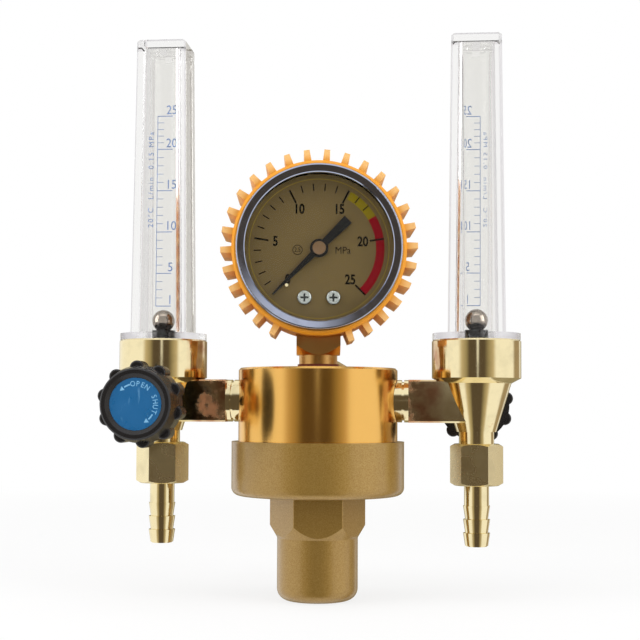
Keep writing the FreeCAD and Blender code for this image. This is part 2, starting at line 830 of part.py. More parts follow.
# Cup, cone, arm and valve boss in one forged and turned piece with its drilled ways.
def make_meter_body():
    outline = [(0, z_outlet), (outlet_screw_r, z_outlet), (outlet_screw_r, z_neck), (neck_r, z_neck)]
    outline += [(neck_r, z_cone_low), (cone_low_r, z_cone_low), (cone_top_r, z_cone_top), (cup_r, z_cup_low)]
    outline += [(cup_r, cup_top - cup_edge), (cup_r - cup_edge, cup_top), (0, cup_top)]
    arm = slab(0, arm_end, -arm_t / 2, arm_t / 2, -arm_h / 2, arm_h / 2)
    long_edges = [e for e in arm.Edges if e.BoundBox.XLength > arm_end / 2]
    arm = arm.makeChamfer(arm_edge, long_edges)
    boss = on_valve(rod(valve_boss_r, 0, valve_boss_len))
    holes = [rod(recess_r, z_floor, cup_top), rod(supply_r, arm_drill_z, z_floor)]
    holes.append(rod(outlet_bore_r, z_outlet, valve_z + valve_hole_r))
    holes.append(moved(rod(return_r, valve_z, z_floor), 0, -return_at, 0))
    holes.append(to_right(rod(arm_port_r, arm_end - arm_port_depth, arm_end)))
    holes.append(moved(to_right(rod(arm_drill_r, 0, arm_end)), 0, 0, arm_drill_z))
    holes.append(on_valve(rod(valve_hole_r, 0, valve_boss_len)))
    holes.append(on_valve(rod(valve_chamber_r, valve_seat_at, valve_boss_len)))
    holes.append(on_valve(rod(gland_screw_r + thread_gap, gland_in, valve_boss_len)))
    return turned(outline).fuse([arm, boss]).removeSplitter().cut(holes)


def square(width, z):
    half = width / 2
    cut = half - cover_corner
    loop = [V(half, -cut, z), V(half, cut, z), V(cut, half, z), V(-cut, half, z)]
    loop += [V(-half, cut, z), V(-half, -cut, z), V(-cut, -half, z), V(cut, -half, z)]
    return Part.makePolygon(loop + loop[:1])


# Clear cover: a round plug and flange under a tall square column, hollow, that narrows upwards.
def make_sight_cover():
    cap_low = square(cover_top_w, z_cover - cover_cap_edge)
    cap_top = square(cover_top_w - 2 * cover_cap_edge, z_cover)
    column = Part.makeLoft([square(cover_low_w, z_square), cap_low, cap_top], True, True)
    flange = rod(cover_flange_r, cup_top, z_square)
    middle = (z_plug + cup_top) / 2
    plug = rod(recess_r - slip_gap, z_plug, cup_top)
    ring = rod(recess_r, middle - cover_seal_r - slip_gap, middle + cover_seal_r + slip_gap)
    groove = ring.cut(rod(recess_r - 2 * cover_seal_r - 2 * slip_gap, z_plug, cup_top))
    low_w = cover_low_w - 2 * cover_wall
    top_w = cover_top_w - 2 * cover_wall
    hollow = Part.makeLoft([square(low_w, z_square), square(top_w, z_bore_end)], True, True)
    cover = column.fuse([flange, plug.cut(groove)])
    return cover.cut([hollow, rod(cover_bore_r, z_plug, z_square)])


def make_cover_seal():
    ring = Part.makeTorus(recess_r - slip_gap - cover_seal_r, cover_seal_r)
    return moved(ring, 0, 0, (z_plug + cup_top) / 2)


# The bore widens upwards; a lip stops the ball and notches let the gas out at the top.
def make_metering_tube():
    wall = [(tube_low_r, z_tube_foot), (tube_outer_r, z_tube_foot), (tube_outer_r, z_tube_top)]
    wall += [(tube_lip_r, z_tube_top), (tube_lip_r, z_lip), (tube_high_r, z_lip)]
    half = tube_notch_w / 2
    notch = slab(-tube_outer_r, tube_outer_r, -half, half, z_tube_top - tube_notch_h, z_tube_top)
    return turned(wall).cut([notch, turn_about_z(notch, 90)])


def make_float_seat():
    flange = rod(tube_outer_r, z_floor, z_tube_foot)
    spigot = rod(tube_low_r - slip_gap, z_tube_foot, z_seat)
    return flange.fuse(spigot).cut(rod(seat_hole_r, z_floor, z_seat))


def make_float_ball():
    return moved(Part.makeSphere(ball_r), 0, 0, z_ball)


def make_valve_gland():
    screw = rod(gland_screw_r, gland_in, valve_boss_len)
    head = hex_nut(gland_hex_af, valve_boss_len, valve_boss_len + gland_hex_len)
    neck = rod(gland_neck_r, valve_boss_len + gland_hex_len, gland_out)
    stop = spindle_in + spindle_screw_len + valve_travel + free_gap
    holes = [rod(spindle_screw_r + running_gap, gland_in, stop)]
    holes.append(rod(spindle_r + running_gap, gland_in, gland_out))
    pocket = valve_seal_r + slip_gap
    holes.append(rod(spindle_r + 2 * pocket, gland_seal_at - pocket, gland_seal_at + pocket))
    return on_valve(screw.fuse([head, neck]).cut(holes))


def make_gland_seal():
    ring = Part.makeTorus(spindle_r + running_gap + valve_seal_r, valve_seal_r)
    return on_valve(moved(ring, 0, 0, gland_seal_at))


def make_valve_spindle():
    screw = rod(spindle_screw_r, spindle_in, spindle_in + spindle_screw_len)
    shaft = rod(spindle_r, spindle_in, spindle_out)
    socket = rod(needle_r + running_gap, spindle_in, spindle_in + needle_socket + slip_gap)
    tap = rod(knob_screw_r + thread_gap, spindle_out + knob_web - knob_screw_len - slip_gap, spindle_out)
    return on_valve(screw.fuse(shaft).cut([socket, tap]))


# The cone's radius at the seat's edge is the hole's radius less the gap.
def make_valve_needle():
    slope = (needle_r - needle_point_r) / needle_point_len
    shoulder = valve_seat_at + (needle_r - valve_hole_r + needle_gap) / slope
    end = spindle_in + needle_socket
    shape = [(0, shoulder - needle_point_len), (needle_point_r, shoulder - needle_point_len)]
    shape += [(needle_r, shoulder), (needle_r, end), (0, end)]
    return on_valve(turned(shape))


def make_knob():
    skirt = knob_back + knob_skirt_len
    face = [(0, knob_back), (knob_r, knob_back), (knob_r, skirt), (knob_rim_r, knob_front - knob_rim_edge)]
    face += [(knob_rim_r - knob_rim_edge, knob_front), (knob_rim_in_r, knob_front)]
    well = knob_label_r + slip_gap
    face += [(well, label_back + knob_label_t), (well, label_back), (0, label_back)]
    lobe_at = knob_lobe_tip_r - knob_lobe_r
    lobe = rod(knob_lobe_r, knob_back, skirt)
    lobe = lobe.makeFillet(knob_lobe_edge, edges_at(lobe, knob_back) + edges_at(lobe, skirt))
    lobe_angles = [knob_lobe_angle + 360 / knob_lobes * i for i in range(knob_lobes)]
    lobes = [turn_about_z(moved(lobe, 0, lobe_at, 0), a) for a in lobe_angles]
    hollow = rod(knob_hollow_r, knob_back, knob_back + knob_hollow_depth)
    hollow = hollow.cut(rod(knob_hub_r, knob_back, knob_back + knob_hollow_depth))
    holes = [hollow, rod(spindle_r + slip_gap, knob_back, spindle_out)]
    holes.append(rod(knob_screw_r + slip_gap, spindle_out, label_back))
    holes.append(rod(knob_screw_head_r + slip_gap, spindle_out + knob_web, label_back))
    return on_valve(turned(face).fuse(lobes).cut(holes))


def make_knob_label():
    return on_valve(rod(knob_label_r, label_back, label_back + knob_label_t))


def make_knob_screw():
    seat = spindle_out + knob_web
    head = rod(knob_screw_head_r, seat, seat + knob_screw_head_h)
    return on_valve(head.fuse(rod(knob_screw_r, seat - knob_screw_len, seat)))


def make_outlet_nut():
    holes = [rod(outlet_screw_r + slip_gap, z_flange, z_neck), rod(barb_r + slip_gap, z_nut, z_neck)]
    return hex_nut(nut_hex_af, z_nut, z_neck).cut(holes)


def make_tail_washer():
    return rod(outlet_screw_r, z_washer, z_outlet).cut(rod(tail_bore_r, z_washer, z_outlet))


# Hose tail: a flange held by the nut, a plain shank and sharp-edged barbs.
def make_hose_tail():
    outline = [(tail_bore_r, z_washer), (outlet_screw_r, z_washer), (outlet_screw_r, z_flange)]
    outline += [(tail_neck_r, z_flange), (tail_neck_r, z_nut), (tail_shank_r, z_nut), (tail_shank_r, z_barbs)]
    for i in range(barb_count):
        low = barb_root_r if i < barb_count - 1 else barb_end_r
        outline += [(barb_r, z_barbs - barb_pitch * i), (low, z_barbs - barb_pitch * (i + 1))]
    outline += [(tail_bore_r, z_barbs - barb_pitch * barb_count)]
    return turned(outline)


def pair(shape):
    return Part.makeCompound([on_meter(shape, 0), on_meter(shape, 180)])


pieces = {}
pieces["regulator_body"] = make_regulator_body()
pieces["bonnet"] = make_bonnet()
pieces["diaphragm"] = make_diaphragm()
pieces["diaphragm_plate"] = make_diaphragm_plate()
pieces["spring_plate"] = make_spring_plate()
pieces["adjusting_spring"] = make_adjusting_spring()
pieces["spring_seat"] = make_spring_seat()
pieces["nozzle"] = make_nozzle()
pieces["poppet"] = make_poppet()
pieces["poppet_spring"] = make_poppet_spring()
pieces["inlet_nipple"] = make_inlet_nipple()
pieces["inlet_filter"] = make_inlet_filter()
pieces["inlet_nut"] = make_inlet_nut()
pieces["gauge_washer"] = make_gauge_washer()
pieces["gauge_stem"] = make_gauge_stem()
pieces["gauge_case"] = make_gauge_case()
pieces["gauge_bezel"] = make_gauge_bezel()
pieces["gauge_lens"] = make_gauge_lens()
pieces["gauge_boot"] = make_gauge_boot()
pieces["gauge_dial"] = make_gauge_dial()
pieces["dial_screws"] = make_dial_screws()
pieces["stop_pin"] = make_stop_pin()
pieces["gauge_pointer"] = make_gauge_pointer()
pieces["pointer_arbor"] = make_pointer_arbor()
pieces["sector_gear"] = make_sector_gear()
pieces["movement_back_plate"] = make_movement_back_plate()
pieces["movement_front_plate"] = make_movement_front_plate()
pieces["gauge_link"] = make_gauge_link()
pieces["bourdon_tube"] = make_bourdon_tube()
pieces["cover_seals"] = pair(make_cover_seal())
pieces["gland_seals"] = pair(make_gland_seal())
pieces["tail_washers"] = pair(make_tail_washer())
meter_makers = [make_arm_nipple, make_meter_body, make_sight_cover, make_metering_tube, make_float_seat]
meter_makers += [make_float_ball, make_valve_gland, make_valve_spindle, make_valve_needle, make_knob]
meter_makers += [make_knob_label, make_knob_screw, make_hose_tail]
for make in meter_makers:
    shape = make()
    piece = make.__name__.replace("make_", "")
    pieces["left_" + piece] = on_meter(shape, 0)
    pieces["right_" + piece] = on_meter(shape, 180)
pieces["left_outlet_nut"] = on_meter(turn_about_z(make_outlet_nut(), left_nut_angle), 0)
pieces["right_outlet_nut"] = on_meter(turn_about_z(make_outlet_nut(), right_nut_angle), 180)

# The origin is the centre of the inlet nut's mouth.
os.makedirs("parts", exist_ok=True)
for name, shape in pieces.items():
    moved(shape, 0, -y_mouth, 0).exportStep("parts/" + name + ".step")
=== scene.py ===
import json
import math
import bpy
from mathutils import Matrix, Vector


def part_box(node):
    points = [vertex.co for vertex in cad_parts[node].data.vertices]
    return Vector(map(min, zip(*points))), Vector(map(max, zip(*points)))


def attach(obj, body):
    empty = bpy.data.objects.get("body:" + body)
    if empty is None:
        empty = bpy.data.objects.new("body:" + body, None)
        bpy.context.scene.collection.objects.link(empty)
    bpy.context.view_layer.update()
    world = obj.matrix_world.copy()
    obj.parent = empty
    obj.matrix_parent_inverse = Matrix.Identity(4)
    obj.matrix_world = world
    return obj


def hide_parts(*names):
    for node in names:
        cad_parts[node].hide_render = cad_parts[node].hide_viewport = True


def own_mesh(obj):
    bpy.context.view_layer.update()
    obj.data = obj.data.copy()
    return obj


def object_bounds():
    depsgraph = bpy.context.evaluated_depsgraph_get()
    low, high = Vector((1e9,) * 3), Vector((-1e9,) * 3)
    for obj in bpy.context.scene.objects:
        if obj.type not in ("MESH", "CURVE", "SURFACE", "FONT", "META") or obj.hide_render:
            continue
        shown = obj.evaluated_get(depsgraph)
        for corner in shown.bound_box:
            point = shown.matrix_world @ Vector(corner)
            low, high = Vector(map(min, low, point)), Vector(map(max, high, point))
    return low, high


bl_info = {
    "name": "Twin-tube gas flow meter",
    "version": (1, 0, 0),
    "blender": (4, 5, 0),
    "location": "3D View > Sidebar > Flow Meter",
    "description": "Finishes, printed scales and a plain studio for a gas regulator with two flow meters",
    "category": "Object",
}

import bpy
from bpy.props import FloatProperty, FloatVectorProperty, PointerProperty
from mathutils import Matrix, Vector

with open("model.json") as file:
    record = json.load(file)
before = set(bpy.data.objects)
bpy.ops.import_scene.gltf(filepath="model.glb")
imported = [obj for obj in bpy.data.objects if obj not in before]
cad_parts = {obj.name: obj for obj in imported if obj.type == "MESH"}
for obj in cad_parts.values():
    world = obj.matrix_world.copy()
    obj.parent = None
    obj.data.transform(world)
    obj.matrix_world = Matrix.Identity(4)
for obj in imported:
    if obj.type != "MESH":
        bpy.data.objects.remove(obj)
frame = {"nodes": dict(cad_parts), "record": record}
CAD_BOX = [list(corner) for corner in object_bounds()]
NODES = frame["nodes"]
JOINTS = {joint["name"]: joint for joint in frame["record"]["behaviour"]["joints"]}
MM = 0.001
SIDES = ("left_", "right_")
UP = Vector((0, 0, 1))

# The depth that the gauge and both clear tubes share, and each flow meter's place sideways.
AXIS_Y = JOINTS["pointer_turn"]["pos_m"][1]
METER_X = {side: JOINTS[side + "knob_turn"]["pos_m"][0] for side in SIDES}

# Points nearer than this are one: in the print, and in a copy of a CAD node.
PRINT_MERGE = 1e-7
NODE_MERGE = 0.001 * MM

# Height of a capital as a share of the letters' size.
CAPITAL_SHARE = 0.7

# Radii between which a painted highlight pales the boot's rubber, and the height of the cap on the pointer.
TOOTH_ROOT, TOOTH_TIP, CAP_TALL = 31.8 * MM, 34.5 * MM, 0.5 * MM

# The dial's scale, in degrees clockwise from the top, and the numbers at which its bands start.
DIAL_START, DIAL_SWEEP, DIAL_STEPS, DIAL_NUMBERED = -135, 270, 25, 5
YELLOW_START, RED_START = 15, 18
# Widths of its ticks and bands, the yellow band's gap in degrees, and the line round the rim.
MAJOR_WIDE, MINOR_WIDE, BAND_WIDE, YELLOW_GAP = 0.66 * MM, 0.42 * MM, 3.1 * MM, 2
RIM_INNER, RIM_OUTER = 25.5 * MM, 25.8 * MM
# Its small print: places and heights of the unit and of the grade, and the ring round the grade.
UNIT_SPOT, UNIT_TALL = (8.7 * MM, -0.7 * MM), 2.6 * MM
GRADE_SPOT, GRADE_TALL = (-7.9 * MM, -0.5 * MM), 1.6 * MM
GRADE_INNER, GRADE_OUTER = 1.6 * MM, 1.85 * MM

# Levels of the tube scale's numbers above the ports, in millimetres.
TUBE_LEVELS = {1: 34.3, 5: 46.6, 10: 62.2, 15: 77.8, 20: 93.5, 25: 106.1}
# The way each tube's scale faces along Y, and how far it is moved sideways and upwards.
TUBE_FACES = (("left_", -1, 0.4 * MM, 0.9 * MM), ("right_", 1, 0.0, 1.9 * MM))
# Widths of its line and ticks, where a number stands by its tick, and the unit's place and height.
TUBE_LINE_WIDE, TUBE_MAJOR_WIDE, TUBE_MINOR_WIDE = 0.22 * MM, 0.3 * MM, 0.2 * MM
TUBE_DIGIT_ASIDE, TUBE_DIGIT_LIFT = 3.6 * MM, 2.2
TUBE_UNIT_SPOT, TUBE_UNIT_TALL = (-4.0 * MM, 82 * MM), 2.0 * MM

# A clear cover above its foot: where its edges are frosted, where its walls start, the half widths
# between which its hollow's corners lie, and how far points of one level may differ.
COVER_FROST, COVER_WALL = 6 * MM, 9 * MM
HOLLOW_NEAR, HOLLOW_FAR = 4 * MM, 8.4 * MM
SAME_LEVEL = 1e-5
# How far the filled corners go into the walls, as a share of their width.
CORNER_BITE = 0.3

# The ring of letters and arrows on a knob's disc: its radius, the turn from letter to letter and
# their height, and where the words' middles and the arrows' heads stand, in degrees from the top.
LABEL_RING, LETTER_TURN, LETTER_TALL = 7.0 * MM, 14.5, 1.8 * MM
LABEL_WORDS = (("OPEN", 14), ("SHUT", 90))
LABEL_ARROWS = ((-42, 1), (146, -1))
# An arrow's head, half its shaft's width, and the degrees from the head at which the shaft ends.
ARROW_HEAD, SHAFT_HALF, SHAFT_NEAR, SHAFT_FAR = 1.0 * MM, 0.25 * MM, 8, 26

# Hose barbs: their number, pitch and first level in millimetres, and each ring's radii and height.
BARBS, BARB_PITCH, BARB_START = 3, 5.0, 0.3
BARB_INNER, BARB_NARROW, BARB_TALL = 3.9 * MM, 4.25 * MM, 4.7 * MM

# The inlet nut's thread: turns, steps in a turn, pitch, radius of its middle, ridge size and start.
THREAD_TURNS, THREAD_STEPS, THREAD_PITCH = 6, 48, 1.814 * MM
THREAD_RADIUS, RIDGE_RADIUS, THREAD_START = 10.05 * MM, 0.95 * MM, 1.2 * MM

# The paper under the object, its gap, and the distances over which the shadow gives way to white.
PAPER_SIZE, PAPER_GAP = 12, 0.1 * MM
SHADOW_START, SHADOW_END, SHADOW_SHARE = 0.25, 0.7, 0.8

# Lamps: place from the axis, width and height, and the setting that gives the power.
LAMPS = (
    ("left_lamp", (-0.75, -0.35, 0.25), (0.5, 0.9), "side_power"),
    ("right_lamp", (0.75, -0.35, 0.25), (0.5, 0.9), "side_power"),
    ("top_lamp", (0.0, -0.25, 0.8), (0.8, 0.5), "top_power"),
)
LAMP_TARGET = 0.03

WHITE = (1.0, 1.0, 1.0, 1.0)
# Tones of the painted reflections; white serves elsewhere too.
TAN = (0.57, 0.48, 0.33, 1.0)
BROWN = (0.39, 0.31, 0.21, 1.0)
OLIVE = (0.33, 0.28, 0.17, 1.0)
DARK = (0.105, 0.080, 0.055, 1.0)
# Painted reflections: the tones of a glowing sheet round the room that only the metal sees, at bearings in
# degrees from straight ahead of the object.
PAINTED_REFLECTIONS = (
    (-180, OLIVE), (-158, OLIVE), (-142, WHITE), (-46, WHITE), (-37, TAN), (-24, OLIVE), (-17, DARK),
    (22, DARK), (32, OLIVE), (44, TAN), (52, WHITE), (104, WHITE), (112, BROWN), (136, BROWN),
    (144, WHITE), (158, OLIVE), (180, OLIVE),
)
REFLECTION_SCREEN_RADIUS, REFLECTION_SCREEN_LOW, REFLECTION_SCREEN_HIGH, REFLECTION_SCREEN_SIDES = 1.3, -1.7, 1.2, 96
# The painted reflections pale to white overhead between these levels.
REFLECTION_FADE = (0.75, 1.1)
# A white patch on the glowing sheet, a painted highlight in the lower left of the chromed ring, and its soft
# edge.
GLEAM = Vector((0.105, -1.296, 0.105))
GLEAM_EDGE = (0.04, 0.09)


def colour(name, description, default):
    return FloatVectorProperty(
        name=name, description=description, subtype="COLOR_GAMMA", size=3, min=0, max=1, default=default)


def length(name, description, default):
    return FloatProperty(
        name=name, description=description, subtype="DISTANCE", unit="LENGTH", default=default, precision=5)


def angle(name, description, degrees):
    return FloatProperty(name=name, description=description, subtype="ANGLE", default=math.radians(degrees))


def amount(name, description, default, unit="NONE"):
    return FloatProperty(name=name, description=description, unit=unit, default=default)


class FlowMeterColours(bpy.types.PropertyGroup):
    """Colours of the finishes, as they look on a screen"""

    body_gold: colour("Body gold", "Anodised regulator body", (0.96, 0.75, 0.41))
    bonnet_dark: colour("Bonnet shade", "Ground of the flake paint", (0.60, 0.46, 0.19))
    bonnet_light: colour("Bonnet flake", "Flakes in the paint", (0.67, 0.54, 0.27))
    brass: colour("Brass", "Turned and polished brass", (0.96, 0.90, 0.72))
    # Its orange is partly the stem's duller brass and partly a painted reflection of the gold body.
    stem: colour("Gauge stem", "Duller brass of the gauge's stem", (0.84, 0.66, 0.40))
    stain: colour("Stain", "Coppery stain on the arms", (0.85, 0.61, 0.44))
    bronze: colour("Bronze", "Sintered filter in the inlet", (0.62, 0.46, 0.28))
    chrome: colour("Chrome", "Plated bezel of the gauge", (0.72, 0.75, 0.84))
    steel: colour("Steel", "Screws, springs and pins", (0.70, 0.72, 0.70))
    ball: colour("Float ball", "Steel of the floats", (0.66, 0.62, 0.58))
    diaphragm: colour("Diaphragm", "Rubber of the diaphragm", (0.10, 0.10, 0.10))
    boot: colour("Gauge boot", "Moulded rubber round the gauge", (0.88, 0.58, 0.13))
    # A painted highlight that pales the teeth towards their tips.
    boot_tooth: colour("Boot teeth", "Paler rubber towards the teeth's tips", (0.93, 0.72, 0.44))
    dial: colour("Dial", "Enamel of the gauge's dial", (0.42, 0.35, 0.205))
    dial_rim: colour("Dial rim", "Line round the dial", (0.58, 0.48, 0.20))
    ink: colour("Dial ink", "Ticks and numerals of the dial", (0.05, 0.045, 0.03))
    hub: colour("Pointer hub", "Cap over the pointer's arbor", (0.46, 0.36, 0.25))
    red_band: colour("Red band", "High end of the dial's scale", (0.54, 0.06, 0.10))
    yellow_band: colour("Yellow band", "Upper middle of the dial's scale", (0.54, 0.47, 0.09))
    knob: colour("Knob", "Moulded knob and float seat", (0.11, 0.105, 0.11))
    label: colour("Label", "Printed disc in the knob", (0.09, 0.365, 0.56))
    label_print: colour("Label print", "Lettering on the disc", (0.47, 0.68, 0.82))
    tube_print: colour("Tube print", "Scale on the clear tube", (0.58, 0.68, 0.88))
    fibre: colour("Fibre", "Sealing washers", (0.42, 0.16, 0.11))


class FlowMeterSizes(bpy.types.PropertyGroup):
    """Sizes of the printed scales, the covers' corners and the hose barbs"""

    thickness: length("Ink thickness", "Height of the print above its surface", 0.03 * MM)
    tick_reach: length("Tick reach", "Radius of the dial ticks' outer ends", 24.0 * MM)
    major_tick: length("Major tick", "Length of a numbered dial tick", 5.2 * MM)
    minor_tick: length("Minor tick", "Length of a plain dial tick", 2.7 * MM)
    numeral: length("Numeral height", "Height of the dial's numerals", 3.5 * MM)
    numeral_reach: length("Numeral radius", "Radius at which the numerals stand", 16.2 * MM)
    tube_line: length("Tube line", "Sideways place of the tube scale's line", -1.75 * MM)
    tube_major: length("Tube major tick", "Length of a numbered tube tick", 5.8 * MM)
    tube_minor: length("Tube minor tick", "Length of a plain tube tick", 2.4 * MM)
    tube_digit: length("Tube digit height", "Height of the tube's numbers", 3.4 * MM)
    corner_across: length("Corner width", "Filled inner corners of the clear covers, across", 1.3 * MM)
    corner_deep: length("Corner depth", "Filled inner corners of the clear covers, front to back", 1.5 * MM)
    barb_reach: length("Barb radius", "Radius of the hose barbs' sharp edges", 4.95 * MM)


class FlowMeterStage(bpy.types.PropertyGroup):
    """Camera and light"""

    distance: length("Camera distance", "From the regulator's axis to the lens", 0.499)
    azimuth: angle("Azimuth", "Camera's turn round the object", 5.3)
    pitch: angle("Pitch", "Camera's tilt upwards", 2.5)
    roll: angle("Roll", "Camera's lean", 0.23)
    height: length("Camera height", "Above the level of the ports", -2.2 * MM)
    aside: length("Camera aside", "Sideways from the regulator's axis", 0.65 * MM)
    rise: amount("Lens rise", "Upward shift of the picture", 0.045)
    lens: amount("Lens", "Focal length on a 36 mm sensor", 74.8, "CAMERA")
    side_power: amount("Side light", "Power of each side lamp", 5.0, "POWER")
    top_power: amount("Top light", "Power of the lamp overhead", 3.0, "POWER")
    room: amount("Room light", "Strength of the room's own light", 0.55)


# A colour as it looks on a screen, as the shader takes it.
def linear(screen):
    return [c / 12.92 if c <= 0.04045 else ((c + 0.055) / 1.055) ** 2.4 for c in screen] + [1.0]


def shade(screen, share):
    return [c * share for c in linear(screen)[:3]] + [1.0]


class Finish:
    """The nodes of a material, or of the room, added step by step"""

    def __init__(self, name, kind="materials", shader="Principled BSDF", output="Material Output"):
        self.made = getattr(bpy.data, kind).new(name)
        self.made.use_nodes = True
        self.nodes = self.made.node_tree.nodes
        self.links = self.made.node_tree.links
        self.shader = self.nodes[shader]
        self.output = self.nodes[output].inputs[0]

    def feed(self, socket, value):
        if isinstance(value, bpy.types.NodeSocket):
            self.links.new(value, socket)
        else:
            socket.default_value = value

    def node(self, kind, inputs=(), **settings):
        node = self.nodes.new("ShaderNode" + kind)
        for key, value in settings.items():
            setattr(node, key, value)
        for socket, value in dict(inputs).items():
            self.feed(node.inputs[socket], value)
        return node

    def set(self, **values):
        for key, value in values.items():
            self.feed(self.shader.inputs[key.replace("_", " ")], value)

    def place(self, scale=(1, 1, 1)):
        spot = self.node("TexCoord").outputs["Object"]
        return self.node("Mapping", {"Vector": spot, "Scale": scale}).outputs[0]

    def noise(self, scale, detail=3.0, stretch=(1, 1, 1)):
        inputs = {"Vector": self.place(stretch), "Scale": scale, "Detail": detail}
        return self.node("TexNoise", inputs).outputs["Fac"]

    # Lines left by the lathe run round an upright axis, so the noise is drawn out sideways.
    def lathe_lines(self, sideways, upright):
        return self.noise(1.0, detail=2.0, stretch=(sideways, sideways, upright))

    def cells(self, scale):
        return self.node("TexVoronoi", {"Vector": self.place(), "Scale": scale}).outputs["Color"]

    def math(self, kind, one, two):
        return self.node("Math", {0: one, 1: two}, operation=kind).outputs[0]

    def absolute(self, value):
        return self.node("Math", {0: value}, operation="ABSOLUTE").outputs[0]

    def vector(self, kind, one, two=(0, 0, 0), output="Vector"):
        return self.node("VectorMath", {0: one, 1: two}, operation=kind).outputs[output]

    def parts(self, vector):
        return self.node("SeparateXYZ", {0: vector}).outputs

    # Goes from low to high while the factor goes from start to end.
    def spread(self, fac, low, high, start=0.3, end=0.7):
        inputs = {"Value": fac, "From Min": start, "From Max": end, "To Min": low, "To Max": high}
        return self.node("MapRange", inputs).outputs[0]

    def mask(self, fac, start, end):
        return self.spread(fac, 0.0, 1.0, start, end)

    # Height above a level, measured along a direction, as 0 below start and 1 above end.
    def above(self, direction, start, end):
        return self.mask(self.vector("DOT_PRODUCT", self.place(), direction, "Value"), start, end)

    def blend(self, fac, one, two):
        return self.node("Mix", {0: fac, 6: one, 7: two}, data_type="RGBA").outputs[2]

    # One colour, between two shares of its brightness.
    def clouded(self, fac, tone, one, two):
        return self.blend(fac, shade(tone, one), shade(tone, two))

    def tarnished(self, cloud, tone):
        return self.clouded(self.mask(cloud, 0.5, 0.78), tone, 1.0, 0.8)

    # Painted shade: clear plastic is given a greyer colour where it is looked through along its walls.
    def walls(self, clear, painted_edge_shade):
        grazing = self.node("LayerWeight", {"Blend": 0.5}).outputs["Facing"]
        return self.blend(self.mask(grazing, 0.35, 1.0), clear, painted_edge_shade)

    def relief(self, height, distance, strength=1.0):
        bump = self.node("Bump", {"Height": height, "Distance": distance, "Strength": strength})
        self.set(Normal=bump.outputs[0])

    # What the camera sees, straight, in metal or through plastic.
    def seen(self):
        path = self.node("LightPath").outputs
        seen = self.math("MAXIMUM", path["Is Camera Ray"], path["Is Glossy Ray"])
        return self.math("MAXIMUM", seen, path["Is Transmission Ray"])

    # Puts another shader in the place of the first one, or part of another over it.
    def show(self, shader, part=None):
        if part:
            shader = self.node("MixShader", {0: part, 1: self.shader.outputs[0], 2: shader}).outputs[0]
        self.links.new(shader, self.output)


def gold_anodising(palette):
    finish = Finish("gold_anodising")
    rings = finish.lathe_lines(40, 9000)
    cloud = finish.noise(60.0)
    finish.set(Metallic=1.0, Base_Color=finish.clouded(cloud, palette.body_gold, 0.94, 1.0))
    finish.set(Roughness=finish.spread(rings, 0.17, 0.21))
    finish.relief(rings, 0.0006 * MM)
    return finish.made


def flake_paint(palette):
    finish = Finish("flake_paint")
    sparkle = finish.mask(finish.cells(3600.0), 0.2, 0.9)
    tone = finish.blend(sparkle, linear(palette.bonnet_dark), linear(palette.bonnet_light))
    finish.set(Base_Color=tone, Metallic=0.55, Roughness=finish.spread(sparkle, 0.46, 0.36))
    finish.set(Coat_Weight=0.8, Coat_Roughness=0.2)
    finish.relief(finish.noise(1100.0), 0.03 * MM, 0.5)
    return finish.made


# Faint tarnish clouds the polish.
def polished_brass(tone, name, roughness=(0.07, 0.15)):
    finish = Finish(name)
    cloud = finish.noise(110.0, detail=4.0)
    finish.set(Metallic=1.0, Base_Color=finish.tarnished(cloud, tone))
    finish.set(Roughness=finish.spread(cloud, *roughness))
    finish.relief(finish.lathe_lines(60, 7000), 0.0012 * MM)
    return finish.made


# The forged arms are browner than the rest and keep a few coppery stains, duller than the polish.
def meter_brass(palette):
    finish = Finish("meter_brass")
    axis = abs(METER_X["left_"])
    away = finish.absolute(finish.parts(finish.place())["X"])
    arm = finish.spread(away, 1.0, 0.0, axis - 15 * MM, axis - 11 * MM)
    fade = finish.spread(away, 0.03, -0.2, axis - 22 * MM, axis - 12 * MM)
    mottle = finish.spread(finish.noise(420.0, detail=4.0), -0.07, 0.05)
    field = finish.math("ADD", finish.math("ADD", finish.noise(75.0, detail=5.0), fade), mottle)
    stain = finish.mask(field, 0.5, 0.62)
    patches = finish.spread(finish.noise(160.0, detail=5.0), 0.35, 0.9, 0.38, 0.62)
    brown = finish.math("MULTIPLY", arm, patches)
    cloud = finish.noise(110.0, detail=4.0)
    polish = finish.blend(brown, finish.tarnished(cloud, palette.brass), shade(palette.stain, 0.7))
    finish.set(Base_Color=finish.blend(stain, polish, linear(palette.stain)))
    finish.set(Metallic=finish.spread(stain, 1.0, 0.7, 0.0, 1.0))
    dull = finish.math("MULTIPLY", stain, 0.32)
    finish.set(Roughness=finish.math("ADD", finish.spread(cloud, 0.07, 0.15), dull))
    finish.relief(finish.lathe_lines(60, 7000), 0.0012 * MM)
    return finish.made


def plain_steel(name, tone, roughness):
    finish = Finish(name)
    cloud = finish.noise(300.0)
    finish.set(Metallic=1.0, Base_Color=finish.clouded(cloud, tone, 0.85, 1.0))
    finish.set(Roughness=finish.spread(cloud, *roughness))
    return finish.made


def moulded(name, tone, roughness, grain):
    finish = Finish(name)
    cloud = finish.noise(120.0)
    finish.set(Base_Color=finish.clouded(cloud, tone, 0.88, 1.06))
    finish.set(Roughness=finish.spread(cloud, *roughness), Specular_IOR_Level=0.45)
    finish.relief(finish.noise(grain, detail=2.0), 0.012 * MM, 0.6)
    return finish.made


# Clear plastic, with one colour all over where no second colour is given as painted shade for looking
# through along its walls.
def clear_acrylic(name, ior, clear, painted_edge_shade=None):
    finish = Finish(name)
    haze = finish.noise(250.0, detail=2.0)
    finish.set(Transmission_Weight=1.0, IOR=ior, Base_Color=finish.walls(clear, painted_edge_shade) if painted_edge_shade else clear)
    finish.set(Roughness=finish.spread(haze, 0.0, 0.012))
    return finish.made


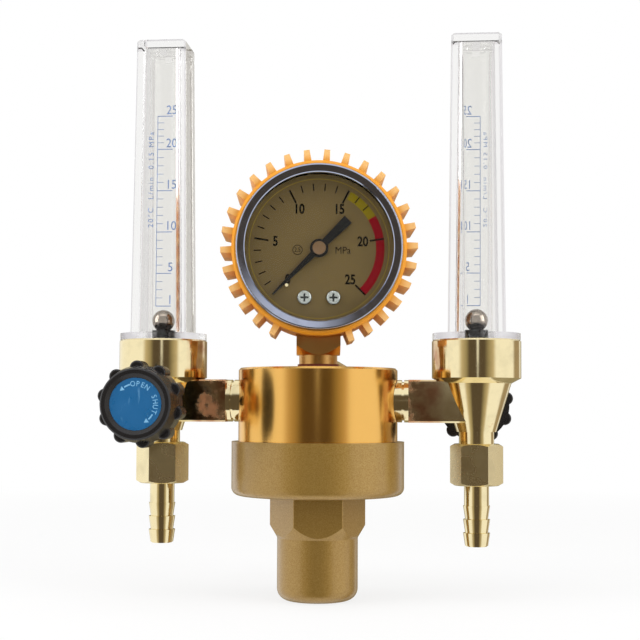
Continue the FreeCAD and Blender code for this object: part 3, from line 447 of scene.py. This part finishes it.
# Moulded covers: the bevels along their edges are frosted and show as soft grey lines.
def cover_acrylic(ior, clear, painted_edge_shade, frost, foot):
    finish = Finish("cover_acrylic")
    normal = finish.parts(finish.node("TexCoord").outputs["Normal"])
    upright = finish.math("MULTIPLY", normal["X"], normal["Y"])
    level = finish.math("MULTIPLY", finish.math("ADD", normal["X"], normal["Y"]), normal["Z"])
    slant = finish.math("MAXIMUM", finish.absolute(upright), finish.absolute(level))
    column = finish.above(UP, foot, foot + 1 * MM)
    bevel = finish.math("MULTIPLY", finish.mask(slant, 0.3, 0.4), column)
    # Painted shade greys the walls where they are looked through along them.
    tone = finish.blend(bevel, finish.walls(clear, painted_edge_shade), frost)
    finish.set(Transmission_Weight=1.0, IOR=ior, Base_Color=tone)
    finish.set(Roughness=finish.math("MULTIPLY", bevel, 0.3))
    return finish.made


# The gauge's axis: the pointer's hub and the direction towards the reader.
def dial_axis():
    joint = JOINTS["pointer_turn"]
    return Vector(joint["pos_m"]), -Vector(joint["axis"])


# Painted highlight: the rubber's colour pales from the rim towards the tips of the teeth.
def boot_rubber(palette):
    finish = Finish("boot_rubber")
    hub, out = dial_axis()
    spot = finish.vector("SUBTRACT", finish.place(), hub)
    flat = finish.vector("SUBTRACT", spot, finish.vector("PROJECT", spot, out))
    tip_highlight = finish.mask(finish.vector("LENGTH", flat, output="Value"), TOOTH_ROOT, TOOTH_TIP)
    cloud = finish.noise(150.0)
    rim = finish.clouded(cloud, palette.boot, 0.92, 1.04)
    finish.set(Base_Color=finish.blend(tip_highlight, rim, linear(palette.boot_tooth)))
    finish.set(Roughness=finish.spread(cloud, 0.4, 0.55), Specular_IOR_Level=0.45)
    finish.relief(finish.noise(1800.0, detail=2.0), 0.015 * MM, 0.5)
    return finish.made


def dial_enamel(palette):
    finish = Finish("dial_enamel")
    cloud = finish.noise(500.0, detail=4.0)
    finish.set(Base_Color=finish.clouded(cloud, palette.dial, 0.92, 1.08))
    finish.set(Roughness=finish.spread(cloud, 0.45, 0.6), Specular_IOR_Level=0.15)
    return finish.made


def ink(name, tone, gloss=0.1, clear=0.0):
    finish = Finish(name)
    cloud = finish.noise(900.0, detail=2.0)
    finish.set(Base_Color=finish.clouded(cloud, tone, 0.9, 1.06))
    finish.set(Roughness=finish.spread(cloud, 0.4, 0.55))
    finish.set(Specular_IOR_Level=gloss, Transmission_Weight=clear, IOR=1.2)
    return finish.made


# The disc's print is scuffed here and there.
def label_disc(palette):
    finish = Finish("label_disc")
    cloud = finish.noise(160.0)
    scratches = finish.noise(420.0, detail=4.0, stretch=(1, 1, 0.3))
    scuff = finish.spread(scratches, 0.0, 0.5, 0.62, 0.74)
    ground = finish.clouded(cloud, palette.label, 0.86, 1.06)
    finish.set(Base_Color=finish.blend(scuff, ground, linear(palette.label_print)))
    finish.set(Roughness=finish.spread(cloud, 0.24, 0.4), Specular_IOR_Level=0.4)
    return finish.made


# The pointer's blade is black and the small cap over its arbor is brown.
def pointer_paint(palette):
    finish = Finish("pointer_paint")
    hub, out = dial_axis()
    level = hub.dot(out) + reach("gauge_pointer", hub, out) - CAP_TALL
    cap = finish.above(out, level - 0.05 * MM, level + 0.05 * MM)
    finish.set(Base_Color=finish.blend(cap, linear(palette.ink), linear(palette.hub)))
    finish.set(Roughness=finish.spread(finish.noise(400.0), 0.35, 0.5), Specular_IOR_Level=0.2)
    return finish.made


# Plated heads with painted shade: below their top the colour falls to a small share of the steel's, which
# darkens the cross recess and the edges.
def screw_plating(palette):
    finish = Finish("screw_plating")
    hub, out = dial_axis()
    top = hub.dot(out) + reach("dial_screws", hub, out)
    # Painted shade: the steel's own colour at the top only.
    bright = finish.above(out, top - 0.5 * MM, top - 0.08 * MM)
    finish.set(Metallic=1.0, Base_Color=finish.clouded(bright, palette.steel, 0.08, 1.0))
    finish.set(Roughness=finish.spread(finish.noise(600.0), 0.2, 0.34))
    return finish.made


def dress(names, material):
    for name in names:
        slots = NODES[name].data.materials
        slots.clear()
        slots.append(material)


def both(*names):
    return [side + name for side in SIDES for name in names]


# How far a CAD node goes from a point in a direction.
def reach(name, origin, direction):
    return max((vertex.co - origin).dot(direction) for vertex in NODES[name].data.vertices)


def moved(x=0.0, y=0.0, z=0.0):
    return Matrix.Translation((x, y, z))


def turned(degrees, axis):
    return Matrix.Rotation(math.radians(degrees), 4, axis)


# A place on a round scale, in degrees clockwise from the top; what stands there turns with it.
def around(degrees, radius):
    return turned(-degrees, "Z") @ moved(y=radius)


# The same place, with what stands there left upright.
def at(degrees, radius):
    return Matrix.Translation(around(degrees, radius).translation)


def axes_at(origin, right, up, out):
    return Matrix.Translation(origin) @ Matrix((right, up, out)).transposed().to_4x4()


# A round face seen from outside: x to the reader's right, y up, z towards the reader.
def face_place(name, centre, out):
    return axes_at(centre + out * reach(name, centre, out), UP.cross(out), UP, out)


def mode(name):
    bpy.ops.object.mode_set(mode=name)


def deselect():
    if bpy.context.object and bpy.context.object.mode == "EDIT":
        mode("OBJECT")
    bpy.ops.object.select_all(action="DESELECT")


# Opens one piece alone for editing, with all of it selected.
def edit(piece):
    deselect()
    piece.select_set(True)
    bpy.context.view_layer.objects.active = piece
    mode("EDIT")
    bpy.ops.mesh.select_all(action="SELECT")


def extrude(x, y, z):
    bpy.ops.mesh.extrude_region_move(TRANSFORM_OT_translate={"value": (x, y, z)})


# Ends the editing of a piece with all its faces pointing outwards.
def close_outwards():
    bpy.ops.mesh.select_all(action="SELECT")
    bpy.ops.mesh.normals_make_consistent(inside=False)
    mode("OBJECT")
    return bpy.context.object


# A printed bar that lies on the XY plane, its foot at the origin and its length along +Y.
def bar(width, extent, thickness):
    deselect()
    bpy.ops.mesh.primitive_plane_add(size=1)
    mode("EDIT")
    bpy.ops.transform.resize(value=(width, extent, 1))
    bpy.ops.transform.translate(value=(0, extent / 2, 0))
    extrude(0, 0, thickness)
    return close_outwards()


# An arc round the origin between two radii; degrees run clockwise from the top.
def band(inner, outer, start, end, thickness):
    deselect()
    bpy.ops.mesh.primitive_plane_add(size=1)
    mode("EDIT")
    bpy.ops.transform.resize(value=(outer - inner, thickness, 1))
    mode("OBJECT")
    upright = moved((inner + outer) / 2, 0, thickness / 2) @ turned(90, "X")
    edit(placed(bpy.context.object, turned(90 - start, "Z") @ upright))
    steps = max(4, int(abs(end - start) / 3))
    bpy.ops.mesh.spin(steps=steps, angle=math.radians(end - start), center=(0, 0, 0), axis=(0, 0, 1))
    bpy.ops.mesh.select_all(action="SELECT")
    bpy.ops.mesh.remove_doubles(threshold=PRINT_MERGE)
    return close_outwards()


# A printed arrow head with its point along +Y.
def arrow_head(radius, thickness):
    deselect()
    bpy.ops.mesh.primitive_circle_add(vertices=3, radius=radius, fill_type="NGON")
    mode("EDIT")
    extrude(0, 0, thickness)
    return close_outwards()


def lettering(text, height, thickness, bold=0.0, width=1.0, spacing=1.0):
    deselect()
    bpy.ops.object.text_add()
    words = bpy.context.object.data
    words.body = text
    words.align_x = "CENTER"
    words.align_y = "CENTER"
    words.size = height / CAPITAL_SHARE
    words.offset = bold * height
    words.extrude = thickness / 2
    words.space_character = spacing
    words.resolution_u = 4
    bpy.ops.object.convert(target="MESH")
    return placed(bpy.context.object, moved(z=thickness / 2) @ Matrix.Diagonal((width, 1, 1, 1)))


def placed(piece, place):
    piece.data.transform(place)
    return piece


def copies(master, places):
    made = []
    for place in places:
        piece = bpy.data.objects.new(master.name, master.data.copy())
        bpy.context.collection.objects.link(piece)
        made.append(placed(piece, place))
    bpy.data.objects.remove(master)
    return made


# Joins pieces into one, lays it in its place and hangs it on a body.
def mount(name, pieces, place, material, body):
    deselect()
    for piece in pieces:
        piece.select_set(True)
    bpy.context.view_layer.objects.active = pieces[0]
    bpy.ops.object.join()
    made = placed(bpy.context.object, place)
    if not made.data.polygons:
        raise RuntimeError(name + " has no faces")
    made.name = name
    made.data.name = name
    made.data.materials.clear()
    made.data.materials.append(material)
    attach(made, body)
    return made


class FLOWMETER_OT_regulator(bpy.types.Operator):
    """Gives the regulator's body, bonnet and inlet their finishes"""

    bl_idname = "flowmeter.regulator"
    bl_label = "Finish Regulator"

    def execute(self, context):
        palette = context.scene.flow_meter_colours
        dress(["regulator_body"], gold_anodising(palette))
        dress(["bonnet"], flake_paint(palette))
        inlet = ["inlet_nipple", "inlet_nut", "nozzle"]
        dress(inlet, polished_brass(palette.brass, "inlet_brass", (0.16, 0.28)))
        dress(["inlet_filter"], moulded("sintered_bronze", palette.bronze, (0.6, 0.8), 4000.0))
        dress(["diaphragm"], moulded("diaphragm_rubber", palette.diaphragm, (0.6, 0.75), 2500.0))
        inner = ["diaphragm_plate", "spring_plate", "adjusting_spring"]
        inner += ["spring_seat", "poppet", "poppet_spring"]
        dress(inner, plain_steel("spring_steel", palette.steel, (0.3, 0.45)))
        return {"FINISHED"}


class FLOWMETER_OT_spring(bpy.types.Operator):
    """Puts a copy of the adjusting spring, its doubled points merged, on the regulator's body in place of
    the CAD node
    """

    bl_idname = "flowmeter.spring"
    bl_label = "Make Spring Shorten"

    def execute(self, context):
        coil = bpy.data.objects.new("pressed_spring", NODES["adjusting_spring"].data.copy())
        bpy.context.collection.objects.link(coil)
        edit(coil)
        bpy.ops.mesh.remove_doubles(threshold=NODE_MERGE)
        mode("OBJECT")
        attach(coil, "regulator")
        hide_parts("adjusting_spring")
        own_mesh(coil)
        return {"FINISHED"}


class FLOWMETER_OT_gauge(bpy.types.Operator):
    """Gives the gauge's case, boot, glass, dial and movement their finishes"""

    bl_idname = "flowmeter.gauge"
    bl_label = "Finish Gauge"

    def execute(self, context):
        palette = context.scene.flow_meter_colours
        # The stem's orange is partly a painted reflection of the gold body.
        dress(["gauge_stem"], polished_brass(palette.stem, "stem_brass", (0.28, 0.4)))
        movement = ["movement_front_plate", "movement_back_plate", "sector_gear", "gauge_link"]
        movement += ["bourdon_tube", "pointer_arbor", "stop_pin"]
        dress(movement, polished_brass(palette.brass, "movement_brass", (0.2, 0.32)))
        washers = ["gauge_washer", "tail_washers"]
        dress(washers, moulded("washer_fibre", palette.fibre, (0.6, 0.75), 3000.0))
        dress(["gauge_case"], plain_steel("case_steel", palette.steel, (0.3, 0.42)))
        dress(["gauge_bezel"], plain_steel("bezel_chrome", palette.chrome, (0.06, 0.12)))
        dress(["gauge_boot"], boot_rubber(palette))
        # Its second colour is painted shade where the glass is looked through at a slant.
        glass = clear_acrylic("gauge_glass", 1.15, (0.97, 0.97, 0.96, 1), (0.9, 0.9, 0.9, 1))
        dress(["gauge_lens"], glass)
        dress(["gauge_dial"], dial_enamel(palette))
        dress(["dial_screws"], screw_plating(palette))
        dress(["gauge_pointer"], pointer_paint(palette))
        return {"FINISHED"}


class FLOWMETER_OT_meters(bpy.types.Operator):
    """Gives both flow meters' brass, clear tubes, floats and knobs their finishes"""

    bl_idname = "flowmeter.meters"
    bl_label = "Finish Flow Meters"

    def execute(self, context):
        palette = context.scene.flow_meter_colours
        dress(both("meter_body"), meter_brass(palette))
        lathed = both("arm_nipple", "valve_gland", "valve_spindle", "hose_tail")
        dress(lathed, polished_brass(palette.brass, "turned_brass"))
        dress(both("outlet_nut"), polished_brass(palette.brass, "nut_brass", (0.2, 0.34)))
        # The second colour is painted shade for walls looked through along them.
        clear, painted_edge_shade, frost = (0.92, 0.915, 0.905, 1), (0.5, 0.49, 0.49, 1), (0.7, 0.68, 0.7, 1)
        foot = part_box("left_sight_cover")[0][2] + COVER_FROST
        dress(both("sight_cover"), cover_acrylic(1.25, clear, painted_edge_shade, frost, foot))
        # Its second colour is painted shade where the tube is looked through along its walls.
        tube = clear_acrylic("tube_acrylic", 1.12, (0.97, 0.97, 0.96, 1), (0.8, 0.8, 0.79, 1))
        dress(both("metering_tube"), tube)
        dress(both("float_seat", "knob"), moulded("knob_plastic", palette.knob, (0.2, 0.34), 2200.0))
        bright = both("float_ball", "valve_needle", "knob_screw")
        dress(bright, plain_steel("ball_steel", palette.ball, (0.1, 0.2)))
        dress(both("knob_label"), label_disc(palette))
        seals = ["cover_seals", "gland_seals"]
        dress(seals, moulded("seal_rubber", palette.knob, (0.55, 0.7), 2500.0))
        return {"FINISHED"}


# The hollow in a clear cover: its axis, its lowest and highest level, and its half widths there.
def cover_hollow(side):
    name = side + "sight_cover"
    home = Vector((METER_X[side], AXIS_Y, 0))
    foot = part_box(name)[0][2] + COVER_WALL
    wall = [v.co - home for v in NODES[name].data.vertices if v.co.z > foot]
    inside = [v for v in wall if all(HOLLOW_NEAR < abs(half) < HOLLOW_FAR for half in v.xy)]
    low = min(v.z for v in inside)
    high = max(v.z for v in inside)
    wide_low = max(v.y for v in inside if v.z < low + SAME_LEVEL)
    wide_high = max(v.y for v in inside if v.z > high - SAME_LEVEL)
    return home, low, high, wide_low, wide_high


class FLOWMETER_OT_cover_corners(bpy.types.Operator):
    """Fills the inner corners on the gauge's side of both clear covers with a slanting face"""

    bl_idname = "flowmeter.cover_corners"
    bl_label = "Fill Cover Corners"

    # A rod with a slanting face for the corner at half, half, which goes a little into the walls
    # and leans inwards with them.
    def corner(self, half, across, deep, drop, height):
        deselect()
        bpy.ops.mesh.primitive_plane_add(size=1 + CORNER_BITE)
        mode("EDIT")
        bpy.ops.mesh.select_mode(type="VERT")
        bpy.ops.mesh.select_all(action="DESELECT")
        mode("OBJECT")
        for vertex in bpy.context.object.data.vertices:
            vertex.select = max(vertex.co.x, vertex.co.y) < 0
        mode("EDIT")
        bpy.ops.mesh.bevel(offset=1.0, affect="VERTICES", segments=1)
        bpy.ops.mesh.select_all(action="SELECT")
        inwards = (CORNER_BITE - 1) / 2
        bpy.ops.transform.translate(value=(inwards, inwards, 0))
        bpy.ops.transform.resize(value=(across, deep, 1), center_override=(0, 0, 0))
        bpy.ops.transform.translate(value=(half, half, 0))
        extrude(-drop, -drop, height)
        return close_outwards()

    def execute(self, context):
        sizes = context.scene.flow_meter_sizes
        clear = clear_acrylic("corner_acrylic", 1.6, WHITE)
        for side, towards_gauge in (("left_", 1), ("right_", -1)):
            home, low, high, wide_low, wide_high = cover_hollow(side)
            across, deep = sizes.corner_across, sizes.corner_deep
            master = self.corner(wide_low, across, deep, wide_low - wide_high, high - low)
            pair = copies(master, [Matrix.Diagonal((towards_gauge, y, 1, 1)) for y in (-1, 1)])
            place = Matrix.Translation(home + UP * low)
            edit(mount(side + "cover_corners", pair, place, clear, "regulator"))
            close_outwards()
        return {"FINISHED"}


class FLOWMETER_OT_dial_print(bpy.types.Operator):
    """Prints the ticks, numerals and coloured bands on the gauge's dial"""

    bl_idname = "flowmeter.dial_print"
    bl_label = "Print Dial"

    def execute(self, context):
        palette = context.scene.flow_meter_colours
        sizes = context.scene.flow_meter_sizes
        height, end = sizes.thickness, sizes.tick_reach
        place = face_place("gauge_dial", *dial_axis())
        spot = [DIAL_START + DIAL_SWEEP * i / DIAL_STEPS for i in range(DIAL_STEPS + 1)]
        numbered = range(0, DIAL_STEPS + 1, DIAL_NUMBERED)
        plain = [i for i in range(RED_START) if i not in numbered]
        major = bar(MAJOR_WIDE, sizes.major_tick, height)
        marks = copies(major, [around(spot[i], end - sizes.major_tick) for i in numbered])
        minor = bar(MINOR_WIDE, sizes.minor_tick, height)
        marks += copies(minor, [around(spot[i], end - sizes.minor_tick) for i in plain])
        for i in numbered:
            digits = lettering(str(i), sizes.numeral, height, bold=0.04, width=0.8)
            marks.append(placed(digits, at(spot[i], sizes.numeral_reach)))
        unit = lettering("MPa", UNIT_TALL, height, width=0.92)
        marks.append(placed(unit, moved(*UNIT_SPOT)))
        marks.append(placed(band(GRADE_INNER, GRADE_OUTER, 0, 360, height), moved(*GRADE_SPOT)))
        grade = lettering("2.5", GRADE_TALL, height, bold=0.01, width=0.84)
        marks.append(placed(grade, moved(*GRADE_SPOT)))
        mount("dial_marks", marks, place, ink("dial_ink", palette.ink), "regulator")
        under = place @ moved(z=-height * 0.4)
        inner = end - BAND_WIDE
        red = band(inner, end, spot[RED_START], spot[DIAL_STEPS], height)
        red_ink = ink("red_band", palette.red_band)
        mount("dial_red_band", [red], under, red_ink, "regulator")
        yellow = band(inner, end, spot[YELLOW_START] + YELLOW_GAP, spot[RED_START], height)
        yellow_ink = ink("yellow_band", palette.yellow_band)
        mount("dial_yellow_band", [yellow], under, yellow_ink, "regulator")
        rim = band(RIM_INNER, RIM_OUTER, 0, 360, height)
        mount("dial_rim_line", [rim], place, ink("rim_gold", palette.dial_rim), "regulator")
        return {"FINISHED"}


class FLOWMETER_OT_tube_print(bpy.types.Operator):
    """Prints the flow scale inside each clear cover, on the side of its knob"""

    bl_idname = "flowmeter.tube_print"
    bl_label = "Print Tube Scales"

    # Every number of the scale with its level, evenly spaced between the given ones.
    def levels(self):
        steps = sorted(TUBE_LEVELS)
        for one, two in zip(steps, steps[1:]):
            rise = TUBE_LEVELS[two] - TUBE_LEVELS[one]
            for i in range(two - one):
                yield one + i, TUBE_LEVELS[one] + rise * i / (two - one)
        yield steps[-1], TUBE_LEVELS[steps[-1]]

    # The inner face of a cover's wall, which leans inwards: x to the reader's right, y up along it.
    def wall(self, side, facing, aside, lift, thickness):
        out = Vector((0, facing, 0))
        home, low, high, deep_low, deep_high = cover_hollow(side)
        lean = (deep_low - deep_high) / (high - low)
        rise = Vector((0, -facing * lean, 1)).normalized()
        right = rise.cross(out).normalized()
        face = home + out * (deep_low + low * lean - thickness) + right * aside + UP * lift
        return axes_at(face, right, rise, right.cross(rise))

    def marks(self, sizes):
        height, line = sizes.thickness, sizes.tube_line
        first, last = min(TUBE_LEVELS), max(TUBE_LEVELS)
        upright = bar(TUBE_LINE_WIDE, (TUBE_LEVELS[last] - TUBE_LEVELS[first]) * MM, height)
        marks = [placed(upright, moved(line, TUBE_LEVELS[first] * MM))]
        places = {n: moved(line, z * MM) @ turned(-90, "Z") for n, z in self.levels()}
        major = bar(TUBE_MAJOR_WIDE, sizes.tube_major, height)
        minor = bar(TUBE_MINOR_WIDE, sizes.tube_minor, height)
        marks += copies(major, [place for n, place in places.items() if n in TUBE_LEVELS])
        marks += copies(minor, [place for n, place in places.items() if n not in TUBE_LEVELS])
        for number, z in TUBE_LEVELS.items():
            digits = lettering(str(number), sizes.tube_digit, height, width=0.9)
            marks.append(placed(digits, moved(TUBE_DIGIT_ASIDE, (z + TUBE_DIGIT_LIFT) * MM)))
        unit = lettering("20\u00b0C  L/min  0.15 MPa", TUBE_UNIT_TALL, height, spacing=1.35)
        marks.append(placed(unit, moved(*TUBE_UNIT_SPOT) @ turned(90, "Z")))
        return marks

    def execute(self, context):
        palette = context.scene.flow_meter_colours
        sizes = context.scene.flow_meter_sizes
        blue = ink("tube_ink", palette.tube_print, gloss=0.2, clear=0.8)
        for side, facing, aside, lift in TUBE_FACES:
            place = self.wall(side, facing, aside, lift, sizes.thickness)
            mount(side + "tube_scale", self.marks(sizes), place, blue, "regulator")
        return {"FINISHED"}


class FLOWMETER_OT_label_print(bpy.types.Operator):
    """Prints the turning directions on the discs in the knobs"""

    bl_idname = "flowmeter.label_print"
    bl_label = "Print Knob Labels"

    def marks(self, height):
        marks = []
        for word, middle in LABEL_WORDS:
            for i, letter in enumerate(word):
                piece = lettering(letter, LETTER_TALL, height, bold=0.012, width=0.9)
                turn = middle + (i - (len(word) - 1) / 2) * LETTER_TURN
                marks.append(placed(piece, around(turn, LABEL_RING)))
        for turn, way in LABEL_ARROWS:
            head = arrow_head(ARROW_HEAD, height)
            marks.append(placed(head, around(turn, LABEL_RING) @ turned(90 * way, "Z")))
            inner, outer = LABEL_RING - SHAFT_HALF, LABEL_RING + SHAFT_HALF
            marks.append(band(inner, outer, turn + way * SHAFT_NEAR, turn + way * SHAFT_FAR, height))
        return marks

    def execute(self, context):
        palette = context.scene.flow_meter_colours
        sizes = context.scene.flow_meter_sizes
        pale = ink("label_ink", palette.label_print)
        for side in SIDES:
            joint = JOINTS[side + "knob_turn"]
            place = face_place(side + "knob_label", Vector(joint["pos_m"]), Vector(joint["axis"]))
            marks = self.marks(sizes.thickness)
            mount(side + "label_marks", marks, place, pale, side + "knob")
        return {"FINISHED"}


class FLOWMETER_OT_tail_barbs(bpy.types.Operator):
    """Sharpens the barbs of both hose tails"""

    bl_idname = "flowmeter.tail_barbs"
    bl_label = "Sharpen Hose Barbs"

    # A ring whose outside narrows towards its lower end.
    def barb(self, outer):
        ring = band(BARB_INNER, outer, 0, 360, BARB_TALL)
        for vertex in ring.data.vertices:
            radius = vertex.co.xy.length
            if radius > BARB_NARROW and vertex.co.z < BARB_TALL / 2:
                vertex.co.xy *= BARB_NARROW / radius
        return ring

    def execute(self, context):
        sizes = context.scene.flow_meter_sizes
        material = NODES["left_hose_tail"].data.materials[0]
        for side in SIDES:
            low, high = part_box(side + "hose_tail")
            place = moved(METER_X[side], (low[1] + high[1]) / 2, low[2])
            steps = [moved(z=(BARB_PITCH * i + BARB_START) * MM) for i in range(BARBS)]
            rings = copies(self.barb(sizes.barb_reach), steps)
            mount(side + "tail_barbs", rings, place, material, "regulator")
        return {"FINISHED"}


class FLOWMETER_OT_inlet_thread(bpy.types.Operator):
    """Winds a thread into the inlet nut's mouth"""

    bl_idname = "flowmeter.inlet_thread"
    bl_label = "Thread Inlet Nut"

    def execute(self, context):
        deselect()
        bpy.ops.mesh.primitive_circle_add(vertices=3, radius=RIDGE_RADIUS, fill_type="NOTHING")
        ridge = placed(bpy.context.object, moved(THREAD_RADIUS) @ turned(90, "X") @ turned(90, "Z"))
        screw = ridge.modifiers.new("thread", "SCREW")
        screw.axis = "Z"
        screw.angle = math.tau * THREAD_TURNS
        screw.screw_offset = THREAD_PITCH * THREAD_TURNS
        screw.steps = THREAD_STEPS * THREAD_TURNS
        screw.render_steps = THREAD_STEPS * THREAD_TURNS
        screw.use_merge_vertices = False
        bpy.ops.object.modifier_apply(modifier=screw.name)
        edit(ridge)
        close_outwards()
        place = turned(90, "X") @ moved(z=THREAD_START)
        brass = NODES["inlet_nut"].data.materials[0]
        mount("inlet_thread", [ridge], place, brass, "inlet_nut")
        return {"FINISHED"}


# Paper that is white to the camera and through plastic, and takes the object's shadow close to it.
def paper_white(name, centre):
    finish = Finish(name)
    grain = finish.noise(30.0, detail=2.0)
    finish.set(Base_Color=finish.blend(grain, (0.80, 0.80, 0.80, 1), (0.84, 0.84, 0.84, 1)), Roughness=0.9)
    away = finish.vector("DISTANCE", finish.place(), centre, "Value")
    share = finish.spread(away, SHADOW_SHARE, 1.0, SHADOW_START, SHADOW_END)
    glow = finish.node("Emission", {"Color": WHITE, "Strength": 1.0}).outputs[0]
    finish.show(glow, finish.math("MULTIPLY", finish.seen(), share))
    return finish.made


# Painted reflections: a glowing sheet, brown in front of the object and paling to the sides and overhead,
# that only polished metal sees.
def room_cloth(name):
    finish = Finish(name)
    spot = finish.parts(finish.place())
    bearing = finish.math("ARCTAN2", spot["X"], finish.math("SUBTRACT", AXIS_Y, spot["Y"]))
    ramp = finish.node("ValToRGB", {0: finish.mask(bearing, -math.pi, math.pi)})
    stops = ramp.color_ramp.elements
    while len(stops) < len(PAINTED_REFLECTIONS):
        stops.new(0.5)
    for stop, (degrees, tone) in zip(stops, PAINTED_REFLECTIONS):
        stop.position = (degrees + 180) / 360
        stop.color = tone
    painted_reflection = finish.blend(finish.mask(spot["Z"], *REFLECTION_FADE), ramp.outputs[0], WHITE)
    # The painted highlight for the chromed ring: the sheet turns white round this spot.
    gleam = Vector((GLEAM.x, AXIS_Y + GLEAM.y, GLEAM.z))
    away = finish.vector("DISTANCE", finish.place(), gleam, "Value")
    tone = finish.blend(finish.spread(away, 1.0, 0.0, *GLEAM_EDGE), painted_reflection, WHITE)
    finish.show(finish.node("Emission", {"Color": tone, "Strength": 1.0}).outputs[0])
    return finish.made


class FLOWMETER_OT_stage(bpy.types.Operator):
    """Sets up the floor, the lamps, the room and the camera"""

    bl_idname = "flowmeter.stage"
    bl_label = "Set Stage"

    def paper(self, name, level):
        deselect()
        bpy.ops.mesh.primitive_plane_add(size=PAPER_SIZE)
        centre = Vector((0, AXIS_Y, level))
        paper = placed(bpy.context.object, Matrix.Translation(centre))
        paper.name = name
        paper.data.materials.append(paper_white(name, centre))
        paper.visible_glossy = False

    # A round glowing screen of painted reflections, seen by polished metal alone.
    def screen(self, name):
        deselect()
        bpy.ops.mesh.primitive_cylinder_add(
            vertices=REFLECTION_SCREEN_SIDES, radius=REFLECTION_SCREEN_RADIUS, depth=REFLECTION_SCREEN_HIGH - REFLECTION_SCREEN_LOW, end_fill_type="NOTHING")
        mode("EDIT")
        bpy.ops.mesh.flip_normals()
        mode("OBJECT")
        screen = placed(bpy.context.object, moved(0, AXIS_Y, (REFLECTION_SCREEN_LOW + REFLECTION_SCREEN_HIGH) / 2))
        screen.name = name
        screen.data.materials.append(room_cloth(name))
        for ray in ("camera", "diffuse", "shadow", "transmission"):
            setattr(screen, "visible_" + ray, False)

    def lamp(self, name, spot, size, power):
        deselect()
        place = Vector((0, AXIS_Y, 0)) + Vector(spot)
        bpy.ops.object.light_add(type="AREA", location=place)
        lamp = bpy.context.object
        lamp.name = name
        lamp.data.shape = "RECTANGLE"
        lamp.data.size, lamp.data.size_y = size
        lamp.data.energy = power
        lamp.visible_glossy = False
        aim = Vector((0, AXIS_Y, LAMP_TARGET)) - place
        lamp.rotation_euler = aim.to_track_quat("-Z", "Y").to_euler()

    # The room's own light is soft, and the room is white wherever it is seen.
    def room(self, scene, strength):
        room = Finish("studio", "worlds", "Background", "World Output")
        room.set(Color=WHITE, Strength=strength)
        white = room.node("Background", {"Color": WHITE, "Strength": 1.0}).outputs[0]
        room.show(white, room.seen())
        scene.world = room.made

    def camera(self, scene, stage):
        deselect()
        back = Vector((math.sin(stage.azimuth), -math.cos(stage.azimuth), 0))
        right = Vector((math.cos(stage.azimuth), math.sin(stage.azimuth), 0))
        spot = back * stage.distance + right * stage.aside + Vector((0, AXIS_Y, stage.height))
        bpy.ops.object.camera_add(location=spot)
        camera = bpy.context.object
        camera.name = "camera"
        camera.data.lens = stage.lens
        camera.data.sensor_width = 36
        camera.data.shift_y = stage.rise
        camera.data.clip_start = 0.01
        tilt = Matrix.Rotation(math.radians(90) + stage.pitch, 4, "X")
        turn = Matrix.Rotation(stage.azimuth, 4, "Z") @ tilt @ Matrix.Rotation(stage.roll, 4, "Z")
        camera.rotation_euler = turn.to_euler()
        scene.camera = camera

    def execute(self, context):
        scene = context.scene
        stage = scene.flow_meter_stage
        self.paper("floor", CAD_BOX[0][2] - PAPER_GAP)
        self.screen("room_cloth")
        for name, spot, size, power in LAMPS:
            self.lamp(name, spot, size, getattr(stage, power))
        self.room(scene, stage.room)
        self.camera(scene, stage)
        scene.view_settings.view_transform = "Standard"
        return {"FINISHED"}


class FLOWMETER_PT_panel(bpy.types.Panel):
    """Lists the flow meter's steps"""

    bl_idname = "FLOWMETER_PT_panel"
    bl_label = "Flow Meter"
    bl_space_type = "VIEW_3D"
    bl_region_type = "UI"
    bl_category = "Flow Meter"

    def draw(self, context):
        for step in STEPS:
            self.layout.operator(step.bl_idname)
        scene = context.scene
        for group in (scene.flow_meter_colours, scene.flow_meter_sizes, scene.flow_meter_stage):
            box = self.layout.box()
            for name in group.__annotations__:
                box.prop(group, name)


STEPS = (
    FLOWMETER_OT_regulator,
    FLOWMETER_OT_spring,
    FLOWMETER_OT_gauge,
    FLOWMETER_OT_meters,
    FLOWMETER_OT_cover_corners,
    FLOWMETER_OT_dial_print,
    FLOWMETER_OT_tube_print,
    FLOWMETER_OT_label_print,
    FLOWMETER_OT_tail_barbs,
    FLOWMETER_OT_inlet_thread,
    FLOWMETER_OT_stage,
)
CLASSES = (FlowMeterColours, FlowMeterSizes, FlowMeterStage) + STEPS + (FLOWMETER_PT_panel,)


def register():
    for item in CLASSES:
        bpy.utils.register_class(item)
    bpy.types.Scene.flow_meter_colours = PointerProperty(type=FlowMeterColours)
    bpy.types.Scene.flow_meter_sizes = PointerProperty(type=FlowMeterSizes)
    bpy.types.Scene.flow_meter_stage = PointerProperty(type=FlowMeterStage)


def unregister():
    del bpy.types.Scene.flow_meter_stage
    del bpy.types.Scene.flow_meter_sizes
    del bpy.types.Scene.flow_meter_colours
    for item in reversed(CLASSES):
        bpy.utils.unregister_class(item)


def main():
    register()
    bpy.ops.flowmeter.regulator()
    bpy.ops.flowmeter.spring()
    bpy.ops.flowmeter.gauge()
    bpy.ops.flowmeter.meters()
    bpy.ops.flowmeter.cover_corners()
    bpy.ops.flowmeter.dial_print()
    bpy.ops.flowmeter.tube_print()
    bpy.ops.flowmeter.label_print()
    bpy.ops.flowmeter.tail_barbs()
    bpy.ops.flowmeter.inlet_thread()
    bpy.ops.flowmeter.stage()


if __name__ == "__main__":
    main()
